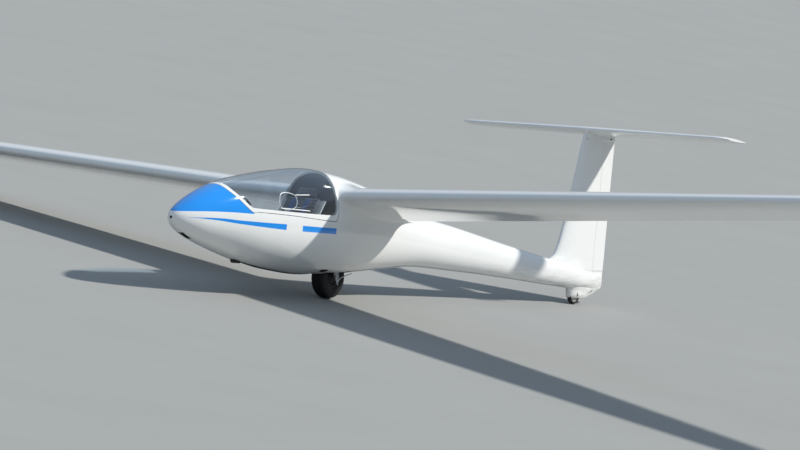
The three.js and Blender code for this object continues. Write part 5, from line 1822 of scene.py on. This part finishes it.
def vent_window():
    """The rim of the sliding window in the port side of the glass, and its rails."""
    window = closed_curve(VENT_WINDOW)
    stations = [p[0] for p in window]
    low, high = min(stations) - WINDOW_RIM.reach, max(stations) + WINDOW_RIM.reach
    further = WINDOW_RIM.inner_reach
    rim = cut(loft(body_rings(np.linspace(low, high, WINDOW_RIM.rows), -WINDOW_RIM.proud)),
              loft(body_rings(np.linspace(low - further, high + further, 16), -TOUCH_GAP)))
    overlap(rim, side_plate(inset_outline(window, -WINDOW_RIM.width), 0.0, OPEN_HALF))
    cut(rim, side_plate(window, 0.0, OPEN_HALF))
    polish(rim)
    # The rim's pale blue-grey is the painted sheen of the window's acrylic edge.
    dress(rim, "vent_window_rim", ACRYLIC_EDGE_SHEEN, body="canopy")
    for i, (start, end) in enumerate(WINDOW_RAILS):
        path = []
        for t in np.linspace(0, 1, RAIL.rows):
            s, z = (a + (b - a) * t for a, b in zip(start, end))
            path.append(at(s, body_side(s, z) + RAIL.off, z))
        rail = swept(path, band(RAIL.width, RAIL.thickness), RAIL.up)
        rail.data.shade_smooth()
        dress(rail, f"vent_window_rail_{i}", WHITE_PLASTIC, body="canopy")


def canopy_fittings():
    for i, (station, height, finish) in enumerate(CANOPY_KNOBS):
        wall = body_side(station, height) - CANOPY_DEPTH
        start, end = at(station, wall + KNOB.root, height), at(station, wall - KNOB.reach, height)
        knob = revolved(start, end, KNOB_SHAPE, 40)
        polish(knob, sharp=50)
        dress(knob, f"canopy_knob_{i}", RED_PLASTIC if finish == "red" else WHITE_PLASTIC,
              body="canopy")
    for i, (station, y, height) in enumerate(CANOPY_HINGES):
        lug = level_copy("canopy_frame")
        half, rise = LUG.half_length, LUG.half_height
        overlap(lug, block((station - half, station + half), (y - LUG.out, y + LUG.inwards),
                           (height - rise, height + rise)))
        soften(lug, 0.0008)
        dress(lug, f"canopy_hinge_lug_{i}", BRIGHT_STEEL, body="canopy")


# Cockpit
DIALS = [
    # y, height, bezel radius, needle angle in degrees from straight up
    (-0.105, 0.730, 0.030, 0), (0.0, 0.748, 0.036, -110), (0.105, 0.730, 0.030, 95),
    (-0.048, 0.655, 0.030, 90), (0.048, 0.655, 0.030, -20), (0.0, 0.560, 0.034, 40),
]
PANEL_FACE = 0.872
BOSS_FACE = 0.880
DIAL_FLOOR = 0.877
DIAL_TICKS = 24
BEZEL = Sizes(proud=0.0035, outer=0.0015, inner=0.0045, screw_off=0.0035, screw=0.0032,
              screw_proud=0.0022, sunk=0.001)
FACE = Sizes(thick=0.0012, short=0.0042, hub=0.0022, hub_top=0.0030, marks_top=0.0018)
TICKS = Sizes(inner=0.66, outer=0.80, long=0.0025, half_long=0.0007, half_short=0.0004, taper=0.6)
NEEDLE = Sizes(tail=-0.005, reach=0.62, half=0.0010, lift=0.0008)


def ring_plate(y, z, low, high, outer, inner, steps=48):
    """A flat ring that faces along the fuselage."""
    piece = bar(at(low, y, z), at(high, y, z), outer, steps)
    return cut(piece, bar(at(low - 0.01, y, z), at(high + 0.01, y, z), inner, steps))


def dial(i, y, z, radius, needle):
    """A round instrument: bezel with screws, dark face, pale ticks and a needle."""
    back = PANEL_FACE - BEZEL.sunk
    bezel = ring_plate(y, z, back, BOSS_FACE + BEZEL.proud, radius + BEZEL.outer,
                       radius - BEZEL.inner)
    for k in range(4):
        angle, off = math.pi * (0.25 + k / 2), radius + BEZEL.screw_off
        sy, sz = y + off * math.cos(angle), z + off * math.sin(angle)
        join(bezel, bar(at(back, sy, sz), at(PANEL_FACE + BEZEL.screw_proud, sy, sz), BEZEL.screw, 12))
    soften(bezel, 0.0007)
    dress(bezel, f"dial_bezel_{i}", BLACK)
    low, high = DIAL_FLOOR + FACE.thick, DIAL_FLOOR + FACE.marks_top
    face = bar(at(DIAL_FLOOR, y, z), at(low, y, z), radius - FACE.short, 48)
    dress(face, f"dial_face_{i}", HOLE_SHADE_AND_BLACK)
    marks = bar(at(low, y, z), at(DIAL_FLOOR + FACE.hub_top, y, z), FACE.hub, 20)
    inner, outer = radius * TICKS.inner, radius * TICKS.outer

    def stroke(angle, start, end, half, front):
        corners = []
        thin = half * TICKS.taper
        for along, across in ((start, -half), (end, -thin), (end, thin), (start, half)):
            corners.append((y + along * math.sin(angle) + across * math.cos(angle),
                            z + along * math.cos(angle) - across * math.sin(angle)))
        return front_plate(corners, front, front + high - low)

    for k in range(DIAL_TICKS):
        long = k % 4 == 0
        start = inner - (TICKS.long if long else 0)
        half = TICKS.half_long if long else TICKS.half_short
        join(marks, stroke(2 * math.pi * k / DIAL_TICKS, start, outer, half, low))
    join(marks, stroke(math.radians(needle), NEEDLE.tail, radius * NEEDLE.reach, NEEDLE.half,
                       low + NEEDLE.lift))
    dress(marks, f"dial_marks_{i}", WHITE_PLASTIC)


STICK = Sizes(
    boot=[(1.120, 0, 0.250), (1.120, 0, 0.330)],
    column=[(1.120, 0, 0.300), (1.105, 0, 0.560)],
    grip=[(1.106, 0, 0.540), (1.098, 0, 0.655)],
)
# Low and high radius of the gaiter, depth and count of its pleats
GAITER_SHAPE = (0.070, 0.026, 0.0028, 5)
STICK_RADIUS = 0.010
STICK_GRIP = [
    # share of the grip's length, radius
    (0, 0.0125), (0.04, 0.0150), (0.14, 0.0165), (0.26, 0.0160), (0.38, 0.0172), (0.50, 0.0165),
    (0.62, 0.0178), (0.74, 0.0172), (0.86, 0.0188), (0.94, 0.0185), (0.985, 0.0150), (1, 0.0110),
]
BUTTON = Sizes(low=(0, 0, 0.004), high=(0, 0.004, 0.0035), radius=0.0050)
HANDLE_Y = 0.236
PUSH_ROD = Sizes(start=(1.120, 0.560), to=(1.480, 0.545), radius=0.008)
GUIDES = Sizes(stations=(1.200, 1.440), half=0.008, inwards=0.013, out=0.070, heights=(0.535, 0.572))
HANDLE_GRIP = [(0, 0.0085), (0.05, 0.0120), (0.3, 0.0130), (0.6, 0.0122), (0.9, 0.0130), (0.98, 0.0105),
               (1, 0.007)]


def cockpit_space(low, high):
    """The cockpit's inside between two stations, a touch inside its wall."""
    return loft(body_rings(np.linspace(low, high, 30), SHELL_WALL + TOUCH_GAP))


def control_column():
    """The stick, with its pleated gaiter, steel column and shaped grip with a button."""
    low, high, pleat, count = GAITER_SHAPE
    pleats = [(t, (low * (1 - t) + high * t) + pleat * math.cos(t * count * 2 * math.pi))
              for t in np.linspace(0, 1, 41)]
    gaiter = revolved(at(*STICK.boot[0]), at(*STICK.boot[1]), pleats, 56)
    overlap(gaiter, cockpit_space(0.9, 1.4))
    polish(gaiter, sharp=60)
    dress(gaiter, "stick_gaiter", GAITER)
    column = bar(at(*STICK.column[0]), at(*STICK.column[1]), STICK_RADIUS, 32)
    polish(column)
    dress(column, "stick_column", BRIGHT_STEEL)
    along = curve_through([share for share, _ in STICK_GRIP], [radius for _, radius in STICK_GRIP])
    grip = revolved(at(*STICK.grip[0]), at(*STICK.grip[1]),
                    [(t, along(t)) for t in np.linspace(0, 1, 60)], 40)
    top = at(*STICK.grip[1])
    join(grip, bar(top - Vector(BUTTON.low), top + Vector(BUTTON.high), BUTTON.radius, 24))
    polish(grip, sharp=40)
    dress(grip, "stick_grip", BLACK, ["control_stick"])


def airbrake_lever():
    """The blue airbrake handle on its push rod along the port wall, with its two guides."""
    (start, low), (end, high) = PUSH_ROD.start, PUSH_ROD.to
    rod = bar(at(start, HANDLE_Y, low), at(end, HANDLE_Y, high), PUSH_ROD.radius, 32)
    for station in GUIDES.stations:
        guide = block((station - GUIDES.half, station + GUIDES.half),
                      (HANDLE_Y - GUIDES.inwards, HANDLE_Y + GUIDES.out), GUIDES.heights)
        soften(guide, 0.002)
        join(rod, guide)
    overlap(rod, cockpit_space(1.0, 1.6))
    shade(rod, 35)
    dress(rod, "airbrake_push_rod", BRIGHT_STEEL, ["airbrake_handle"])
    grip = revolved(at(1.135, HANDLE_Y, 0.555), at(1.135, HANDLE_Y - 0.046, 0.590), HANDLE_GRIP, 36)
    polish(grip, sharp=50)
    dress(grip, "airbrake_grip", BLUE_PLASTIC)


SEAT_LINE = [(1.195, 0.372), (1.300, 0.338), (1.420, 0.318), (1.500, 0.330), (1.580, 0.392), (1.700, 0.560),
             (1.820, 0.735), (1.880, 0.822)]
SEAT_PATH = np.array([(p.x, p.y) for p in smooth_path([(*p, 0) for p in SEAT_LINE], 12)])
SEAT_RUN = np.concatenate([[0], np.cumsum(np.linalg.norm(np.diff(SEAT_PATH, axis=0), axis=1))])
PAD = Sizes(voxel=0.006, pressure=4.0, frames=20, stiffness=12, smoothing=0.6, smooth_steps=6)
SEAM = Sizes(width=0.0055, depth=0.0062, side_place=0.80, side_share=0.8, face_from=0.012,
             face_fade=0.010)
PAD_REST = 0.0006


def seat_places(points):
    """How far each point lies along the seat line and off it."""
    along = np.gradient(SEAT_PATH, axis=0)
    along /= np.linalg.norm(along, axis=1, keepdims=True)
    normal = np.column_stack([-along[:, 1], along[:, 0]])
    flat = np.column_stack([-points[:, 0], points[:, 2]])
    near = np.array([np.argmin(((SEAT_PATH - p) ** 2).sum(1)) for p in flat])
    offset = ((flat - SEAT_PATH[near]) * normal[near]).sum(1)
    lengths = SEAT_RUN[near] + ((flat - SEAT_PATH[near]) * along[near]).sum(1)
    return lengths, offset, normal[near]


def swell(piece, cap):
    """Blows a closed skin up like a stuffed pad, with no point moved further than a cap."""
    before = np.array([v.co for v in piece.data.vertices])
    step = piece.modifiers.new("swell", "CLOTH")
    step.settings.use_pressure = True
    step.settings.uniform_pressure_force = PAD.pressure
    step.settings.effector_weights.gravity = 0
    step.settings.tension_stiffness = PAD.stiffness
    step.settings.compression_stiffness = PAD.stiffness
    scene = bpy.context.scene
    for moment in range(1, PAD.frames + 1):
        scene.frame_set(moment)
    settle(piece)
    scene.frame_set(1)
    after = np.array([v.co for v in piece.data.vertices])
    moved = after - before
    length = np.linalg.norm(moved, axis=1, keepdims=True)
    after = before + moved * np.minimum(1, cap / np.maximum(length, 1e-9))
    piece.data.vertices.foreach_set("co", after.ravel())


def padded_piece(name, node, cap, channels):
    """A stuffed cushion made from its plain solid, swollen, sewn across and flat where it rests."""
    pad = level_copy(node)
    remesh = pad.modifiers.new("remesh", "REMESH")
    remesh.mode = "VOXEL"
    remesh.voxel_size = PAD.voxel
    settle(pad)
    smooth = pad.modifiers.new("smooth", "SMOOTH")
    smooth.factor = PAD.smoothing
    smooth.iterations = PAD.smooth_steps
    settle(pad)
    swell(pad, cap)
    finer = pad.modifiers.new("finer", "SUBSURF")
    finer.levels = 1
    settle(pad)
    points = np.array([v.co for v in pad.data.vertices])
    lengths, offset, normal = seat_places(points)
    sewn = np.zeros(len(points))
    for place in channels:
        sewn += np.exp(-((lengths - place) / SEAM.width) ** 2)
    sides = np.abs(points[:, 1])
    side_seam = sides.max() * SEAM.side_place
    sewn += SEAM.side_share * np.exp(-((sides - side_seam) / SEAM.width) ** 2)
    face = np.clip((offset - SEAM.face_from) / SEAM.face_fade, 0, 1)
    depth = SEAM.depth * np.minimum(sewn, 1) * face
    points[:, 0] += normal[:, 0] * depth
    points[:, 2] -= normal[:, 1] * depth
    low = np.maximum(0, PAD_REST - (offset - depth))
    points[:, 0] -= normal[:, 0] * low
    points[:, 2] += normal[:, 1] * low
    pad.data.vertices.foreach_set("co", points.ravel())
    pad.data.shade_smooth()
    dress(pad, name, SEAT_CLOTH, [node])
    return pad


HARNESS = Sizes(width=0.046, thickness=0.0022, lift=0.0016, buckle=0.236, ray_from=0.15,
                ray=0.20, smoothings=3, slope_reach=0.02)
SHOULDER_ROUTE = [
    # length along the seat line, distance off the middle, least rise off the seat line
    (0.935, 0.066, 0.020), (0.86, 0.068, 0.02), (0.74, 0.066, 0.02), (0.62, 0.058, 0.014),
    (0.50, 0.050, 0.010), (0.40, 0.042, 0.010), (0.31, 0.032, 0.012), (HARNESS.buckle + 0.012, 0.014, 0.02),
]
LAP_ROUTE = [(0.40, 0.215, 0.004), (0.37, 0.170, 0.006), (0.32, 0.120, 0.010), (0.27, 0.065, 0.012),
             (HARNESS.buckle, 0.016, 0.02)]
SLIDE = Sizes(places=(22, 46), half=0.011, wider=0.008, thickness=0.0046)
BUCKLE = Sizes(low=0.002, high=0.021, bar_half=0.016, bar_width=0.007, bar_thickness=0.006)
BUCKLE_SHAPE = [(0, 0.026), (0.10, 0.029), (0.45, 0.029), (0.58, 0.027), (0.60, 0.022), (0.90, 0.021),
                (1.0, 0.017)]


def seat_place(length):
    return [np.interp(length, SEAT_RUN, SEAT_PATH[:, k]) for k in (0, 1)]


def seat_point(length, y, offset):
    """A level point at a length along the seat line and an offset off it, with the line's normal there."""
    station, height = seat_place(length)
    ahead, behind = (seat_place(length + step) for step in (HARNESS.slope_reach, -HARNESS.slope_reach))
    along = Vector((ahead[0] - behind[0], ahead[1] - behind[1])).normalized()
    normal = Vector((along.y, 0, along.x))
    return at(station, y, height) + normal * offset, normal


def strap(route, side, tree):
    """Webbing laid over the pads along a route, and its path."""
    path = []
    for p in smooth_path([(length, side * y, rise) for length, y, rise in route], 10):
        point, normal = seat_point(p.x, p.y, p.z)
        hit = tree.ray_cast(point + normal * HARNESS.ray_from, -normal, HARNESS.ray)
        if hit[0] is not None:
            rise = (hit[0] - point).dot(normal) + HARNESS.lift
            point = point + normal * max(0.0, rise)
        path.append(point)
    for _ in range(HARNESS.smoothings):
        between = [a * 0.25 + b * 0.5 + c * 0.25 for a, b, c in zip(path, path[1:], path[2:])]
        path = [path[0]] + between + [path[-1]]
    _, up = seat_point(*route[0])
    piece = swept(path, band(HARNESS.width, HARNESS.thickness), up)
    return shade(piece, 60), path


def harness(pads):
    """Shoulder and lap straps that lie on the empty seat, joined at a turn buckle."""
    back = LEVEL.inverted()
    points, faces = [], []
    for pad in pads:
        start = len(points)
        points += [back @ v.co for v in pad.data.vertices]
        faces += [[start + i for i in face.vertices] for face in pad.data.polygons]
    tree = BVHTree.FromPolygons(points, faces)
    across = Vector((0, 1, 0))
    for name, side in (("port", 1), ("starboard", -1)):
        belt, path = strap(SHOULDER_ROUTE, side, tree)
        dress(belt, f"shoulder_strap_{name}", WEBBING, ["harness"] if side == 1 else [])
        for k in SLIDE.places:
            along = (path[k + 1] - path[k - 1]).normalized()
            up = across.cross(along).normalized()
            ends = [path[k] - along * SLIDE.half, path[k] + along * SLIDE.half]
            slide = swept(ends, band(HARNESS.width + SLIDE.wider, SLIDE.thickness),
                          up if up.z > 0 else -up)
            soften(slide, 0.0006)
            dress(slide, f"strap_slide_{name}_{k}", BRIGHT_STEEL)
        belt, _ = strap(LAP_ROUTE, side, tree)
        dress(belt, f"lap_strap_{name}", WEBBING)
    seat, normal = seat_point(HARNESS.buckle, 0, 0.0)
    hit = tree.ray_cast(seat + normal * HARNESS.ray_from, -normal, HARNESS.ray)[0] or seat + normal * 0.04
    base, top = hit + normal * BUCKLE.low, hit + normal * BUCKLE.high
    buckle = revolved(base, top, BUCKLE_SHAPE, 56)
    reach = across * BUCKLE.bar_half
    join(buckle, swept([top - reach, top + reach], band(BUCKLE.bar_width, BUCKLE.bar_thickness),
                       normal))
    polish(buckle, sharp=38)
    dress(buckle, "harness_buckle", ALLOY)


# CAD pieces that keep their shape, with their edges rounded
KEPT = [
    # material, edge radius, nodes
    (STEEL, 0.0010, ["main_fork_port", "main_fork_starboard", "tail_axle", "rudder_pedals",
                     "canopy_hinge_front", "canopy_hinge_rear"]),
    (BLACK, 0.0020, ["instrument_panel", "panel_hood"]),
    (LINING, 0.0030, ["seat_pan"]),
]


def keep_nodes():
    for finish, width, names in KEPT:
        for node_name in names:
            node = frame["nodes"][node_name]
            node.data.materials.clear()
            node.data.materials.append(finish)
            round_edges(node, width)


wheel_gear()
nose_inlet()
nose_hook()
belly_hook()
belly_strip()
tail_marks()
vent_window()
canopy_fittings()
for i, row in enumerate(DIALS):
    dial(i, *row)
control_column()
airbrake_lever()
seat_pads = [
    padded_piece("seat_pad", "seat_cushion", 0.008, (0.08, 0.15, 0.22, 0.28)),
    padded_piece("back_pad", "back_cushion", 0.008, (0.69, 0.76, 0.83, 0.90)),
]
padded_piece("head_pad", "headrest", 0.006, ())
harness(seat_pads)
keep_nodes()


# Floor and light
FLOOR = Sizes(reach=700.0, height=-0.0005)
FLOOR_TONES = (colour(0.285, 0.29, 0.28), colour(0.32, 0.325, 0.315))
SUN = Sizes(travel=(0.60, -0.58, -0.60), energy=4.3, angle=2.5, colour=(1.0, 0.96, 0.90))
SKY = Sizes(low=(0.36, 0.39, 0.39), high=(0.66, 0.84, 1.08), strength=0.52, span=(-0.05, 0.55))


def make_stage():
    reach, height = FLOOR.reach, FLOOR.height
    corners = [(x * reach, y * reach, height) for x, y in ((-1, -1), (1, -1), (1, 1), (-1, 1))]
    mesh = bpy.data.meshes.new("floor")
    mesh.from_pydata(corners, [], [(0, 1, 2, 3)])
    floor = new_piece(mesh, "floor")
    made, tree, inputs = material("pale_floor", Roughness=0.9)
    tone = noise(tree, put(tree, "ShaderNodeTexCoord").outputs["Object"], 0.8, 3.0)
    tree.links.new(mixed(tree, tone, *FLOOR_TONES), inputs["Base Color"])
    mesh.materials.append(made)


def make_light():
    sun = bpy.data.lights.new("key", "SUN")
    sun.energy = SUN.energy
    sun.angle = math.radians(SUN.angle)
    sun.color = SUN.colour
    lamp = bpy.data.objects.new("key", sun)
    bpy.context.scene.collection.objects.link(lamp)
    travel = LEVEL.to_3x3() @ Vector(SUN.travel)
    lamp.rotation_mode = "QUATERNION"
    lamp.rotation_quaternion = travel.to_track_quat("-Z", "Y")
    world = bpy.data.worlds.new("studio")
    bpy.context.scene.world = world
    world.use_nodes = True
    tree = world.node_tree
    back = tree.nodes["Background"].inputs
    way = put(tree, "ShaderNodeTexCoord").outputs["Generated"]
    height = remap(tree, put(tree, "ShaderNodeSeparateXYZ", {0: way}).outputs[2], *SKY.span)
    tree.links.new(mixed(tree, height, colour(*SKY.low), colour(*SKY.high)), back[0])
    back[1].default_value = SKY.strength


make_stage()
make_light()
bpy.context.scene.view_settings.view_transform = "Standard"

bpy.context.view_layer.update()
